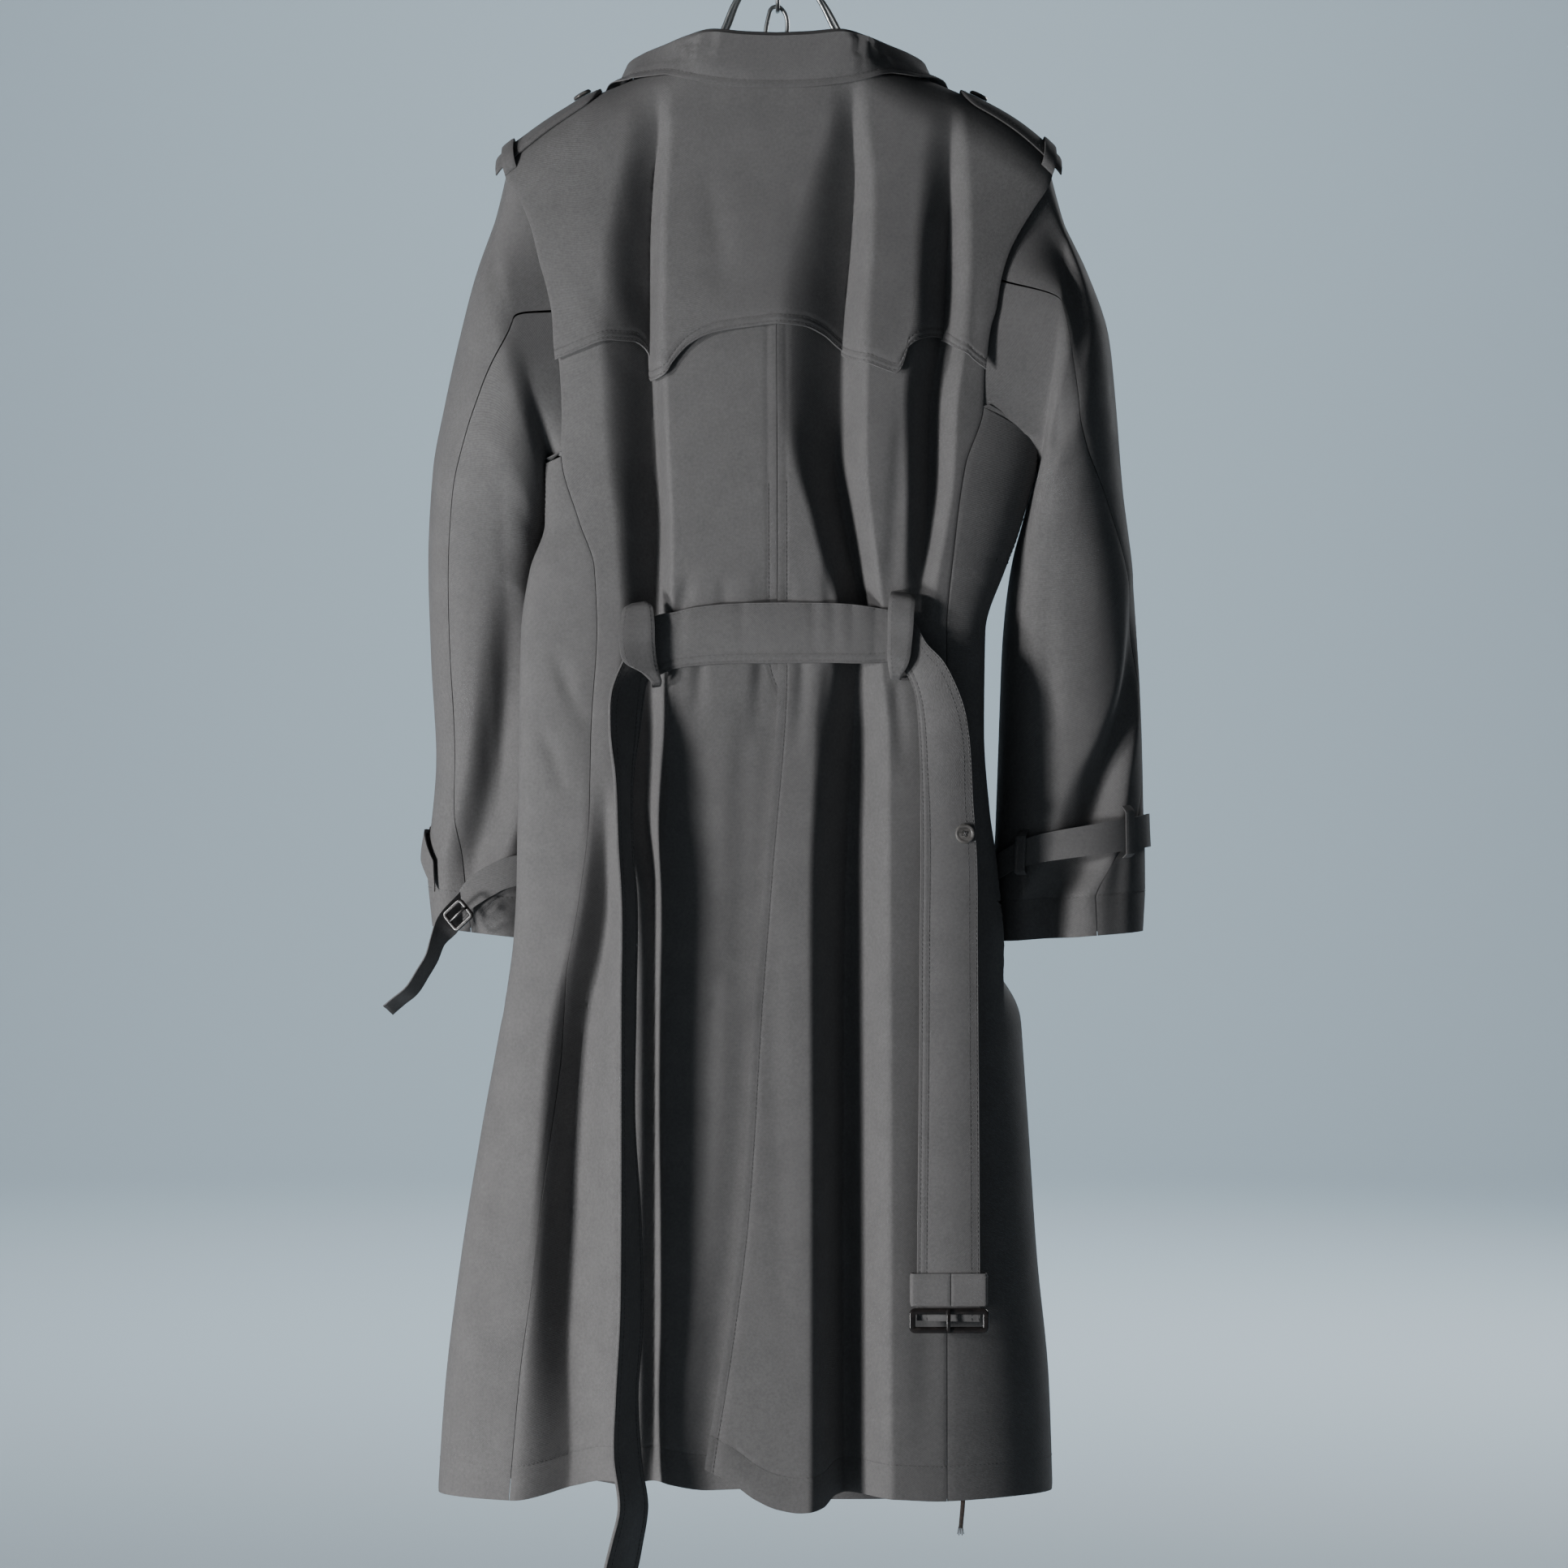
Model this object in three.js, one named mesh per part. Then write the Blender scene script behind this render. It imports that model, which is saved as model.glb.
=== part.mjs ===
// A long belted trench coat on a wire hanger, its back towards -Y, its belt drawn to the back.
// Millimetres. +Z is up, +Y is the way the wearer would face, +X is the wearer's right.
// The origin is the inside top of the hanger's hook, where a rail carries the whole part.
// Every cloth piece is a thin closed wall over one of three forms: the body's rings, a sleeve's
// sections, or a strap's pairs of edges.
import * as THREE from "three";

// Driving sizes
const CLOTH = 1.6; // wall of one layer of cloth with its seam allowance
const STRAP = 2.4; // wall of the belt and other straps, two layers and an interlining
const SEAM_SET = 0.25; // how far each piece stops short of the seam it is sewn at
const LIE_GAP = 0.5; // between a piece and the panel it lies on
const SHOULDER_ROUND = 46; // how far below the shoulder seam the body reaches its full depth
const NECK_HEIGHT = -168; // height of the back neck seam
const BUTTON_RADIUS = 12; // front buttons
const SMALL_BUTTON_RADIUS = 8; // epaulette and belt buttons
const WIRE_RADIUS = 1.9; // hanger wire
const HOOK_RADIUS = 18; // inside of the hanger's hook
const FRONT_OVERLAP = 85; // each front reaches this far past the middle
const TAU = Math.PI * 2;

// Colours, roughness and metalness
const finish = (colour, roughness, metalness = 0) =>
  new THREE.MeshStandardMaterial({ color: colour, roughness, metalness });
const MATERIALS = {
  twill: finish(0x59534f, 0.85),
  horn: finish(0x2e241f, 0.35),
  steel: finish(0x8d979b, 0.3, 0.9),
  dark: finish(0x1d1a19, 0.4),
};

// Tables. Each is a list of rows under named columns, read as a smooth curve by its first column.
function smoothTable(columns, rows) {
  const sorted = [...rows].sort((a, b) => a[0] - b[0]);
  const last = sorted.length - 1;
  const rise = (i, c) => (sorted[i + 1][c] - sorted[i][c]) / (sorted[i + 1][0] - sorted[i][0]);
  const slopes = sorted.map((_, i) =>
    columns.map((__, c) => {
      if (i === 0) return rise(0, c);
      if (i === last) return rise(last - 1, c);
      const before = rise(i - 1, c);
      const after = rise(i, c);
      return before * after <= 0 ? 0 : (2 * before * after) / (before + after);
    }),
  );
  return (key) => {
    const at = Math.min(Math.max(key, sorted[0][0]), sorted[last][0]);
    let i = 0;
    while (i < last - 1 && sorted[i + 1][0] < at) i += 1;
    const span = sorted[i + 1][0] - sorted[i][0];
    const t = (at - sorted[i][0]) / span;
    const out = {};
    columns.forEach((name, c) => {
      const a = sorted[i][c];
      const b = sorted[i + 1][c];
      out[name] =
        a * (1 + 2 * t) * (1 - t) ** 2 +
        b * t * t * (3 - 2 * t) +
        slopes[i][c] * span * t * (1 - t) ** 2 -
        slopes[i + 1][c] * span * t * t * (1 - t);
    });
    return out;
  };
}
const mix = (a, b, t) => a + (b - a) * t;
const clamp01 = (t) => Math.min(Math.max(t, 0), 1);
const smoothStep = (t) => clamp01(t) ** 2 * (3 - 2 * clamp01(t));
const power = (v, p) => Math.sign(v) * Math.abs(v) ** p;

// Body rings: the left and right ends of each level with their depths, the back's and front's depth,
// and how square the ring is. 2 is an ellipse.
const ringAt = smoothTable(
  ["z", "left", "right", "leftY", "rightY", "back", "front", "square"],
  [
    [-60, -270, 270, -6, -6, -46, 36, 2.4],
    [-255, -270, 268, -6, -6, -58, 50, 2.4],
    [-310, -252, 256, -6, -6, -66, 56, 2.4],
    [-375, -226, 240, -8, -4, -72, 60, 2.5],
    [-440, -204, 230, -12, 0, -75, 62, 2.6],
    [-480, -196, 222, -20, 0, -77, 64, 2.7],
    [-531, -190, 203, -34, -10, -78, 64, 3.0],
    [-570, -202, 186, -40, -20, -78, 62, 3.2],
    [-620, -209, 170, -42, -26, -75, 60, 3.4],
    [-700, -211, 169, -42, -26, -76, 62, 3.2],
    [-766, -212, 174, -40, -18, -80, 64, 3.0],
    [-820, -213, 184, -36, -2, -82, 66, 2.8],
    [-871, -216, 198, -30, 14, -84, 68, 2.6],
    [-924, -224, 201, -24, 20, -86, 70, 2.5],
    [-1028, -243, 208, -20, 20, -88, 73, 2.5],
    [-1133, -260, 215, -18, 20, -90, 75, 2.5],
    [-1238, -273, 225, -16, 20, -91, 76, 2.5],
    [-1360, -281, 229, -16, 20, -92, 77, 2.5],
  ],
);

// Folds that run down the cloth. A depth over 0 is a valley and under 0 a ridge; the spreads are how
// far each flank reaches to the left and right of the fold's line.
const FOLD_COLUMNS = ["z", "x", "depth", "spreadLeft", "spreadRight"];
const fold = (rows) => smoothTable(FOLD_COLUMNS, rows);
const BACK_FOLDS = [
  // left shoulder blade, down to the belt and on beside the belt's long end
  fold([
    [-176, -98, 0, 24, 12],
    [-212, -98, 8, 26, 13],
    [-250, -102, 18, 30, 14],
    [-308, -106, 26, 36, 16],
    [-375, -107, 30, 38, 17],
    [-478, -104, 31, 36, 17],
    [-540, -100, 29, 32, 16],
    [-600, -100, 24, 28, 16],
    [-648, -103, 18, 26, 18],
    [-701, -106, 24, 24, 20],
    [-766, -108, 22, 22, 18],
    [-830, -102, 14, 12, 12],
    [-900, -101, 11, 9, 9],
    [-1238, -101, 10, 9, 10],
    [-1330, -101, 7, 10, 12],
  ]),
  // right of the middle, the deepest one, all the way to the hem
  fold([
    [-168, 60, 0, 18, 12],
    [-210, 61, 9, 22, 14],
    [-250, 63, 18, 38, 16],
    [-308, 60, 26, 52, 18],
    [-375, 54, 30, 56, 20],
    [-439, 51, 32, 50, 22],
    [-478, 47, 34, 38, 26],
    [-531, 55, 33, 30, 22],
    [-570, 63, 30, 28, 19],
    [-610, 70, 24, 26, 16],
    [-648, 65, 25, 28, 20],
    [-701, 63, 34, 34, 28],
    [-819, 58, 40, 34, 34],
    [-1028, 57, 44, 32, 36],
    [-1238, 57, 46, 32, 36],
    [-1340, 57, 44, 32, 38],
  ]),
  // right shoulder blade, fading above the belt
  fold([
    [-190, 140, 0, 18, 12],
    [-250, 141, 12, 26, 15],
    [-308, 140, 21, 30, 17],
    [-373, 137, 24, 30, 18],
    [-439, 128, 25, 28, 18],
    [-500, 126, 22, 24, 17],
    [-540, 122, 17, 20, 15],
    [-580, 117, 8, 16, 13],
    [-620, 114, 0, 14, 12],
  ]),
  // left skirt, slanting out to the hem
  fold([
    [-740, -140, 0, 16, 12],
    [-790, -140, 9, 16, 14],
    [-830, -141, 17, 20, 18],
    [-871, -147, 23, 26, 24],
    [-924, -162, 28, 28, 38],
    [-976, -170, 30, 28, 44],
    [-1081, -175, 30, 30, 50],
    [-1186, -176, 27, 38, 50],
    [-1290, -172, 22, 52, 52],
    [-1340, -172, 20, 56, 52],
  ]),
];
const FRONT_FOLDS = [
  fold([
    [-260, -128, 0, 20, 20],
    [-340, -132, 12, 30, 22],
    [-480, -128, 18, 34, 24],
    [-620, -124, 14, 30, 24],
    [-800, -128, 18, 32, 28],
    [-1340, -136, 30, 44, 36],
  ]),
  fold([
    [-420, 122, 0, 20, 24],
    [-560, 118, 13, 24, 30],
    [-700, 114, 12, 24, 28],
    [-900, 122, 20, 30, 34],
    [-1340, 138, 30, 38, 44],
  ]),
];
const bump = (u) => (Math.abs(u) < 1 ? (1 - u * u) ** 2 : 0);
function foldDepth(folds, x, z) {
  let total = 0;
  for (const foldAt of folds) {
    const f = foldAt(z);
    const away = x - f.x;
    total += f.depth * bump(away / (away < 0 ? f.spreadLeft : f.spreadRight));
  }
  return total;
}

// The top of the shoulders, seen from the back. It goes on rising inside the neck, where nothing is cut.
const shoulderTable = smoothTable(["x", "z"], [
  [-270, -292], [-240, -252], [-232, -241], [-223, -229], [-205, -215], [-189, -203.5],
  [-171, -192], [-153, -181.5], [-141, -176.5], [-120, -168], [-100, -157], [0, -90],
  [100, -155], [120, -166], [146, -177], [161, -184], [175, -191], [192, -201], [207, -212],
  [221, -224.5], [230, -234.5], [240, -252], [270, -292],
]);
const shoulderLine = (x) => shoulderTable(x).z;
function shoulderShare(x, z) {
  const left = clamp01((shoulderLine(x) - z) / SHOULDER_ROUND);
  return Math.sqrt(Math.max(0, 1 - (1 - left) ** 2));
}

// Sleeve sections: the outer and inner point of each, its middle's depth and its half depth.
const SLEEVE_COLUMNS = ["step", "outX", "outZ", "inX", "inZ", "midY", "halfY"];
const SLEEVES = {
  left: [
    [1, -234, -283, -184, -492, 0, 62],
    [2, -249, -325, -186, -516, 2, 69],
    [3, -263, -378, -190, -535, 5, 70],
    [4, -275, -430, -193, -554, 9, 67],
    [5, -286, -487, -193, -580, 14, 62],
    [6, -290, -560, -190, -622, 19, 57],
    [7, -288, -640, -188, -676, 23, 54],
    [8, -284, -720, -186, -738, 26, 51],
    [9, -288, -775, -182, -786, 27, 49],
    [10, -292, -806, -180, -816, 27, 48],
    [11, -290, -838, -180, -850, 26, 47],
    [12, -287, -868, -182, -880, 25, 46],
  ],
  right: [
    [1, 238, -287, 214, -492, -2, 62],
    [2, 256, -325, 207, -514, -2, 68],
    [3, 273, -376, 201, -534, -1, 68],
    [4, 279, -430, 195, -556, 1, 65],
    [5, 285, -500, 190, -586, 5, 60],
    [6, 294, -570, 186, -630, 9, 56],
    [7, 299, -645, 184, -682, 12, 52],
    [8, 302, -720, 182, -740, 12, 49],
    [9, 303, -775, 180, -790, 10, 47],
    [10, 304, -806, 178, -818, 8, 46],
    [11, 304, -838, 177, -848, 6, 45],
    [12, 302, -872, 180, -880, 4, 44],
  ],
};
const SLEEVE_SQUARE = 2.2;
const sleeveRows = {
  left: smoothTable(SLEEVE_COLUMNS, SLEEVES.left),
  right: smoothTable(SLEEVE_COLUMNS, SLEEVES.right),
};

// Heights of the back ends of the armholes
const ARMPIT = { left: -478, right: -439 };

// The body makes room for the sleeves that hang beside it.
const sleeveRoom = (z) => 7 + 6 * smoothStep((-690 - z) / 60); // more beside the cuff straps
const sleeveSlices = {};
for (const side of ["left", "right"]) {
  const rows = SLEEVES[side];
  sleeveSlices[side] = {
    outer: smoothTable(["z", "x"], rows.map((r) => [r[2], r[1]])),
    inner: smoothTable(["z", "x", "midY", "halfY"], rows.map((r) => [r[4], r[3], r[5], r[6]])),
    top: ARMPIT[side] + 6,
  };
}
function clearOfSleeves(x, y, z) {
  let clear = x;
  for (const side of ["left", "right"]) {
    const sign = side === "left" ? -1 : 1;
    const slice = sleeveSlices[side];
    const fade = smoothStep((slice.top - z) / 12 + 1.6) * smoothStep((z + 955) / 75);
    const inner = slice.inner(z);
    const outer = slice.outer(z);
    const halfX = Math.abs(outer.x - inner.x) / 2 + sleeveRoom(z);
    const dy = (y - inner.midY) / (inner.halfY + sleeveRoom(z));
    if (Math.abs(dy) >= 1) continue;
    const limit = sign * ((outer.x + inner.x) / 2) - halfX * Math.sqrt(1 - dy * dy);
    if (clear * sign > limit) clear = sign * mix(clear * sign, limit, fade);
  }
  return clear;
}

// A point of the body's outer face. The angle is 0 at the right end, a quarter turn at the middle of
// the front and minus a quarter turn at the middle of the back.
function bodyPoint(angle, z, lift = 0, folded = true) {
  const r = ringAt(z);
  const c = power(Math.cos(angle), 2 / r.square);
  const s = power(Math.sin(angle), 2 / r.square);
  const half = (r.right - r.left) / 2;
  const x = (r.right + r.left) / 2 + half * c;
  const endY = mix(r.leftY, r.rightY, (c + 1) / 2);
  const level = (s < 0 ? r.back : r.front) - endY;
  const y = endY + level * Math.abs(s) * shoulderShare(x, z);
  const out = new THREE.Vector2(
    power(c, r.square - 1) / half,
    power(s, r.square - 1) / Math.abs(level),
  ).normalize();
  const folds = folded ? foldDepth(s < 0 ? BACK_FOLDS : FRONT_FOLDS, x, z) : 0;
  const move = lift - folds * shoulderShare(x, z) * smoothStep(Math.abs(s) * 2);
  const movedY = y + out.y * move;
  return new THREE.Vector3(clearOfSleeves(x + out.x * move, movedY, z), movedY, z);
}
// The angle at which the body's ring has this x, on its back or its front.
function bodyAngle(x, z, side) {
  const r = ringAt(z);
  const c = (x - (r.right + r.left) / 2) / ((r.right - r.left) / 2);
  const angle = Math.acos(power(Math.max(-1, Math.min(1, c)), r.square / 2));
  return side === "back" ? -angle : angle;
}
// The way out of the cloth, by the body's points a little way off on each side.
function bodyNormal(angle, z) {
  const turn = 0.02;
  const step = 5;
  const round = bodyPoint(angle + turn, z).sub(bodyPoint(angle - turn, z));
  const up = bodyPoint(angle, z + step).sub(bodyPoint(angle, z - step));
  return round.cross(up).normalize();
}
const onBack = (x, z, lift = 0) => bodyPoint(bodyAngle(x, z, "back"), z, lift);
const onFront = (x, z, lift = 0) => bodyPoint(bodyAngle(x, z, "front"), z, lift);

// Cut lines of the back and fronts, as the x of each at a height.
const line = (rows) => {
  const at = smoothTable(["z", "x"], rows);
  return (z) => at(z).x;
};
const SHOULDER_POINT = { left: -230, right: -229 };
const backEdge = {
  left: line([
    [-230, -224], [-247, -222], [-268, -210], [-293, -200], [-321, -193], [-338, -188],
    [-362, -183], [-384, -181], [-401, -179], [-439, -177], [-478, -176], [-531, -161], [-570, -148], [-620, -146], [-701, -151],
    [-766, -152], [-835, -160], [-903, -172], [-994, -182], [-1084, -192], [-1152, -199],
    [-1219, -208], [-1320, -217],
  ]),
  right: line([
    [-229, 225], [-245, 224], [-256, 221], [-275, 209], [-298, 195], [-315, 187], [-336, 181],
    [-359, 177], [-372, 173], [-388, 170], [-408, 168], [-439, 167], [-487, 152], [-553, 143], [-624, 137], [-1330, 137],
  ]),
};
const frontArmhole = {
  left: line([
    [-230, -224], [-247, -221], [-285, -203], [-320, -190], [-373, -181], [-430, -180],
    [-476, -184],
  ]),
  right: line([
    [-229, 225], [-247, 222], [-285, 206], [-320, 193], [-373, 184], [-430, 184], [-462, 190],
  ]),
};
const middleSeam = line([
  [-160, -2], [-648, 0], [-819, -12], [-924, -20], [-1084, -30], [-1186, -42], [-1294, -59],
]);

// Heights of the hem, by x on the back and on the front.
const backHem = line([
  [-281, -1316], [-241, -1320], [-216, -1323], [-169, -1313], [-140, -1306], [-103, -1305],
  [-58, -1312], [-30, -1311],
]);
const backRightHem = line([
  [-60, -1294], [-35, -1307], [-18, -1319], [0, -1327], [18, -1330], [38, -1328], [50, -1321],
  [86, -1320], [137, -1323], [180, -1321], [205, -1315], [229, -1304],
]);
const frontHem = line([
  [-281, -1320], [-200, -1342], [-100, -1350], [0, -1352], [100, -1350], [180, -1338], [229, -1308],
]);
// The collar's seam on the fronts and the line where the lapel rolls over.
const NECK_FRONT = { x: 62, z: -250 };
const LAPEL_END = -430;
const neckFront = line([
  [62, -250], [88, -214], [104, -186], [114, -171],
]);

// A closed wall over a grid of points. pointAt takes two shares from 0 to 1. Cells can be left out,
// lift moves the wall out, the same everywhere or by column and row, and flip turns its outside
// round. Neighbours share the normals that edgeNormal gives at their seams.
function wall(across, down, pointAt, options = {}) {
  const { thick = CLOTH, flip = false, lift = 0, keep = () => true, edgeNormal } = options;
  const id = (i, j) => i * (down + 1) + j;
  const points = [];
  for (let i = 0; i <= across; i += 1)
    for (let j = 0; j <= down; j += 1) points.push(pointAt(i / across, j / down, i, j));
  const normals = points.map(() => new THREE.Vector3());
  const faces = [];
  for (let i = 0; i < across; i += 1)
    for (let j = 0; j < down; j += 1) {
      if (!keep(i, j)) continue;
      const [a, b, c, d] = [id(i, j), id(i + 1, j), id(i + 1, j + 1), id(i, j + 1)];
      // The shorter diagonal splits each cell.
      const short = points[a].distanceTo(points[c]) <= points[b].distanceTo(points[d]);
      const pair = short ? [[a, b, c], [a, c, d]] : [[a, b, d], [b, c, d]];
      faces.push(...(flip ? pair : pair.map(([p, q, r]) => [p, r, q])));
    }
  for (const [p, q, r] of faces) {
    const side = points[q].clone().sub(points[p]).cross(points[r].clone().sub(points[p]));
    for (const k of [p, q, r]) normals[k].add(side);
  }
  normals.forEach((normal, k) => {
    const shared = edgeNormal && edgeNormal(Math.floor(k / (down + 1)), k % (down + 1));
    if (shared) normal.copy(shared);
    normal.normalize();
  });
  const liftAt = typeof lift === "function" ? lift : () => lift;
  const outer = points.map((p, k) => {
    const out = liftAt(Math.floor(k / (down + 1)), k % (down + 1));
    return p.clone().addScaledVector(normals[k], out);
  });
  const inner = outer.map((p, k) => p.clone().addScaledVector(normals[k], -thick));
  const n = points.length;
  const edges = new Map();
  for (const [p, q, r] of faces)
    for (const [u, v] of [[p, q], [q, r], [r, p]]) {
      if (!edges.delete(v + "," + u)) edges.set(u + "," + v, [u, v]);
    }
  const triangles = [...faces, ...faces.map(([p, q, r]) => [r + n, q + n, p + n])];
  for (const [u, v] of edges.values()) triangles.push([u + n, v, u], [u + n, v + n, v]);
  const geometry = new THREE.BufferGeometry();
  const flat = [...outer, ...inner].flatMap((p) => [p.x, p.y, p.z]);
  geometry.setAttribute("position", new THREE.Float32BufferAttribute(flat, 3));
  geometry.setIndex(triangles.flat());
  return geometry;
}

const coat = new THREE.Group();
function add(name, geometry, material = MATERIALS.twill) {
  const mesh = new THREE.Mesh(geometry, material);
  mesh.name = name;
  coat.add(mesh);
  return mesh;
}

// Rows of a panel: the first ones follow the round of the shoulder, the next go down to the armpit
// and the rest to the hem.
const ROUND_ROWS = 3;
const UPPER_ROWS = 7;
const LOWER_ROWS = 13;
const BESIDE_SLEEVE = { rows: 6, end: -880, free: -912 }; // the cloth is free of the sleeves below
const PANEL_ROWS = ROUND_ROWS + UPPER_ROWS + LOWER_ROWS;
function rowHeight(j, top, armpit, hem) {
  const roundEnd = top - SHOULDER_ROUND;
  if (j <= ROUND_ROWS) {
    const turn = (j / ROUND_ROWS) * (Math.PI / 2);
    return top - SHOULDER_ROUND * (1 - Math.cos(turn));
  }
  if (j <= ROUND_ROWS + UPPER_ROWS) return mix(roundEnd, armpit, (j - ROUND_ROWS) / UPPER_ROWS);
  const row = j - ROUND_ROWS - UPPER_ROWS;
  const { rows, end, free } = BESIDE_SLEEVE;
  if (row <= rows) return mix(armpit, end, row / rows);
  return mix(free, hem, (row - rows - 1) / (LOWER_ROWS - rows - 1));
}
// The height at which a column that leans with its cut lines meets a top or bottom line.
function meet(columnX, lineZ, from) {
  let z = from;
  for (let k = 0; k < 12; k += 1) z = lineZ(columnX(z));
  return z;
}
const backTop = (x) => Math.min(NECK_HEIGHT, shoulderLine(x));

// The two back panels. Below the belt the right one laps over the left along the vent.
const VENT_TOP = -545; // the left panel has sunk by the time its lap begins under the belt
const VENT_LAP = 42;
const VENT_DROP = 4;
const LAP_DROP = CLOTH + LIE_GAP;
const BACK_COLUMNS = { left: 20, right: 19 };
const ventDrop = (z) => smoothStep((VENT_TOP - z) / 75);
const ventLap = (z) => smoothStep((VENT_TOP - 95 - z) / 100);
function backColumn(side, i) {
  const sign = side === "left" ? -1 : 1;
  const share = i / BACK_COLUMNS[side];
  return (z) => {
    const outer = backEdge[side](z) - sign * SEAM_SET;
    const lap = side === "left" ? VENT_LAP * ventLap(z) : 0;
    const inner = middleSeam(z) + sign * SEAM_SET + lap;
    return side === "left" ? mix(outer, inner, share) : mix(inner, outer, share);
  };
}
function backPoint(side, i, j) {
  const columnAt = backColumn(side, i);
  const top = meet(columnAt, backTop, NECK_HEIGHT - 40);
  const hem = meet(columnAt, side === "left" ? backHem : backRightHem, -1310);
  const armpit = mix(ARMPIT.left, ARMPIT.right, clamp01((columnAt(-460) + 176) / 343));
  const z = rowHeight(j, top, armpit, hem);
  const x = columnAt(z);
  const sunk = side === "left" ? smoothStep((x - middleSeam(z) + 26) / 24) * ventDrop(z) : 0;
  const point = onBack(x, z, -VENT_DROP * sunk);
  point.y -= SEAM_SET;
  return point;
}
// Both sides of a shoulder seam stand square to its slope.
function shoulderNormal(x) {
  return new THREE.Vector3(shoulderLine(x - 2) - shoulderLine(x + 2), 0, 4);
}
for (const side of ["left", "right"])
  add(
    "back_" + side,
    wall(BACK_COLUMNS[side], PANEL_ROWS, (_, __, i, j) => backPoint(side, i, j), {
      edgeNormal: (i, j) => {
        const x = backColumn(side, i)(-200);
        if (j === 0 && Math.abs(x) > 112) return shoulderNormal(x);
        const atSeam = i === 0 || i === BACK_COLUMNS[side];
        if (!atSeam || j < ROUND_ROWS) return null;
        const { x: px, z } = backPoint(side, i, j);
        return bodyNormal(bodyAngle(px, z, "back"), z);
      },
    }),
  );

// The storm yoke hangs free from the neck and shoulders over the back, with a scalloped edge. Its
// points are the back's, moved out.
const YOKE_ROWS = 8;
const yokeEdge = line([
  [-180, -400], [-158, -392], [-136, -385], [-120, -385], [-110, -391], [-104, -406],
  [-98, -416], [-92, -416], [-84, -404], [-70, -389], [-51, -380], [-18, -375], [0, -373],
  [18, -374], [34, -380], [47, -390], [67, -402], [83, -409], [96, -413], [101, -406],
  [105, -392], [113, -384], [126, -381], [139, -385], [149, -393], [160, -403], [170, -410],
]);
function alongBack(side, i, row) {
  const whole = Math.floor(row);
  return backPoint(side, i, whole).lerp(backPoint(side, i, whole + 1), row - whole);
}
function yokePoint(i, j) {
  const side = i <= BACK_COLUMNS.left ? "left" : "right";
  const column = side === "left" ? i : i - BACK_COLUMNS.left;
  let low = 0;
  let high = ROUND_ROWS + UPPER_ROWS;
  for (let k = 0; k < 24; k += 1) {
    const row = (low + high) / 2;
    const point = alongBack(side, column, row);
    if (point.z > yokeEdge(point.x)) low = row;
    else high = row;
  }
  return j < YOKE_ROWS ? backPoint(side, column, j) : alongBack(side, column, low);
}
add(
  "back_yoke",
  wall(BACK_COLUMNS.left + BACK_COLUMNS.right, YOKE_ROWS, (_, __, i, j) => yokePoint(i, j), {
    lift: (_, j) => LAP_DROP + (j === YOKE_ROWS ? 3.6 : 0.8),
  }),
);

// The fronts run from the side seam, which lies on the back, round the side and across the middle.
// The left front lies over the right one.
const FRONT_COLUMNS = 18;
const ARM_COLUMN = 7; // columns from here on lie under the arm
const UNDER_DROP = 7.5; // leaves room for the under lapel
const underArm = { left: [-474, -492, -478], right: [-463, -490, -439] };
const underShare = (x) => smoothStep((FRONT_OVERLAP + 40 - x) / 34);
const frontDrop = { left: () => 0, right: (x) => UNDER_DROP * underShare(x) };
function underArmHeight(side, t) {
  const [a, b, c] = underArm[side];
  return (1 - t) ** 2 * a + 2 * t * (1 - t) * b + t * t * c;
}
// The way round under the arm at one height: share 0 is the front armhole, 1 the side seam.
function sideAngle(side, share, z, frontX) {
  const frontAngle = bodyAngle(frontX, z, "front");
  const seamX = backEdge[side](z) + (side === "left" ? -1 : 1) * SEAM_SET;
  return mix(frontAngle, bodyAngle(seamX, z, "back") + (side === "left" ? TAU : 0), share);
}
function frontPanel(side) {
  const left = side === "left";
  const sign = left ? -1 : 1;
  const edgeX = -sign * FRONT_OVERLAP;
  const topLine = (x) => {
    const out = x * sign;
    if (out > 114) return shoulderLine(x);
    if (out > NECK_FRONT.x) return Math.min(neckFront(out), shoulderLine(x));
    return mix(NECK_FRONT.z, LAPEL_END, (NECK_FRONT.x - out) / (NECK_FRONT.x + FRONT_OVERLAP));
  };
  return wall(
    FRONT_COLUMNS,
    PANEL_ROWS,
    (_, __, i, j) => {
      const share = Math.min(i / ARM_COLUMN, 1);
      const bound = (z) => frontArmhole[side](z) - sign * SEAM_SET;
      const columnAt = (z) => mix(edgeX, bound(z), share);
      const top = meet(columnAt, topLine, -240);
      const t = clamp01((i - ARM_COLUMN) / (FRONT_COLUMNS - ARM_COLUMN));
      const armpit = underArmHeight(side, t);
      const hemFront = meet(columnAt, frontHem, -1340);
      const hemSeam = (left ? backHem : backRightHem)(backEdge[side](-1320));
      const hem = mix(hemFront, hemSeam, smoothStep(t * 1.2));
      const z = rowHeight(j, top, armpit, hem);
      const x = columnAt(z);
      const point = bodyPoint(sideAngle(side, t, z, x), z, -frontDrop[side](x) * (1 - t));
      if (t === 0) point.y += SEAM_SET;
      return point;
    },
    {
      flip: !left,
      keep: (i, j) => i < ARM_COLUMN || j >= ROUND_ROWS + UPPER_ROWS,
      edgeNormal: (i, j) => {
        if (j === 0) {
          const x = mix(edgeX, sign * 222, Math.min(i / ARM_COLUMN, 1));
          return Math.abs(x) > 112 ? shoulderNormal(x) : null;
        }
        if (i < FRONT_COLUMNS) return null;
        const z = rowHeight(j, -230, ARMPIT[side], -1320);
        return bodyNormal(sideAngle(side, 1, z, 0), z);
      },
    },
  );
}
add("front_left", frontPanel("left"));
add("front_right", frontPanel("right"));

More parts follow.
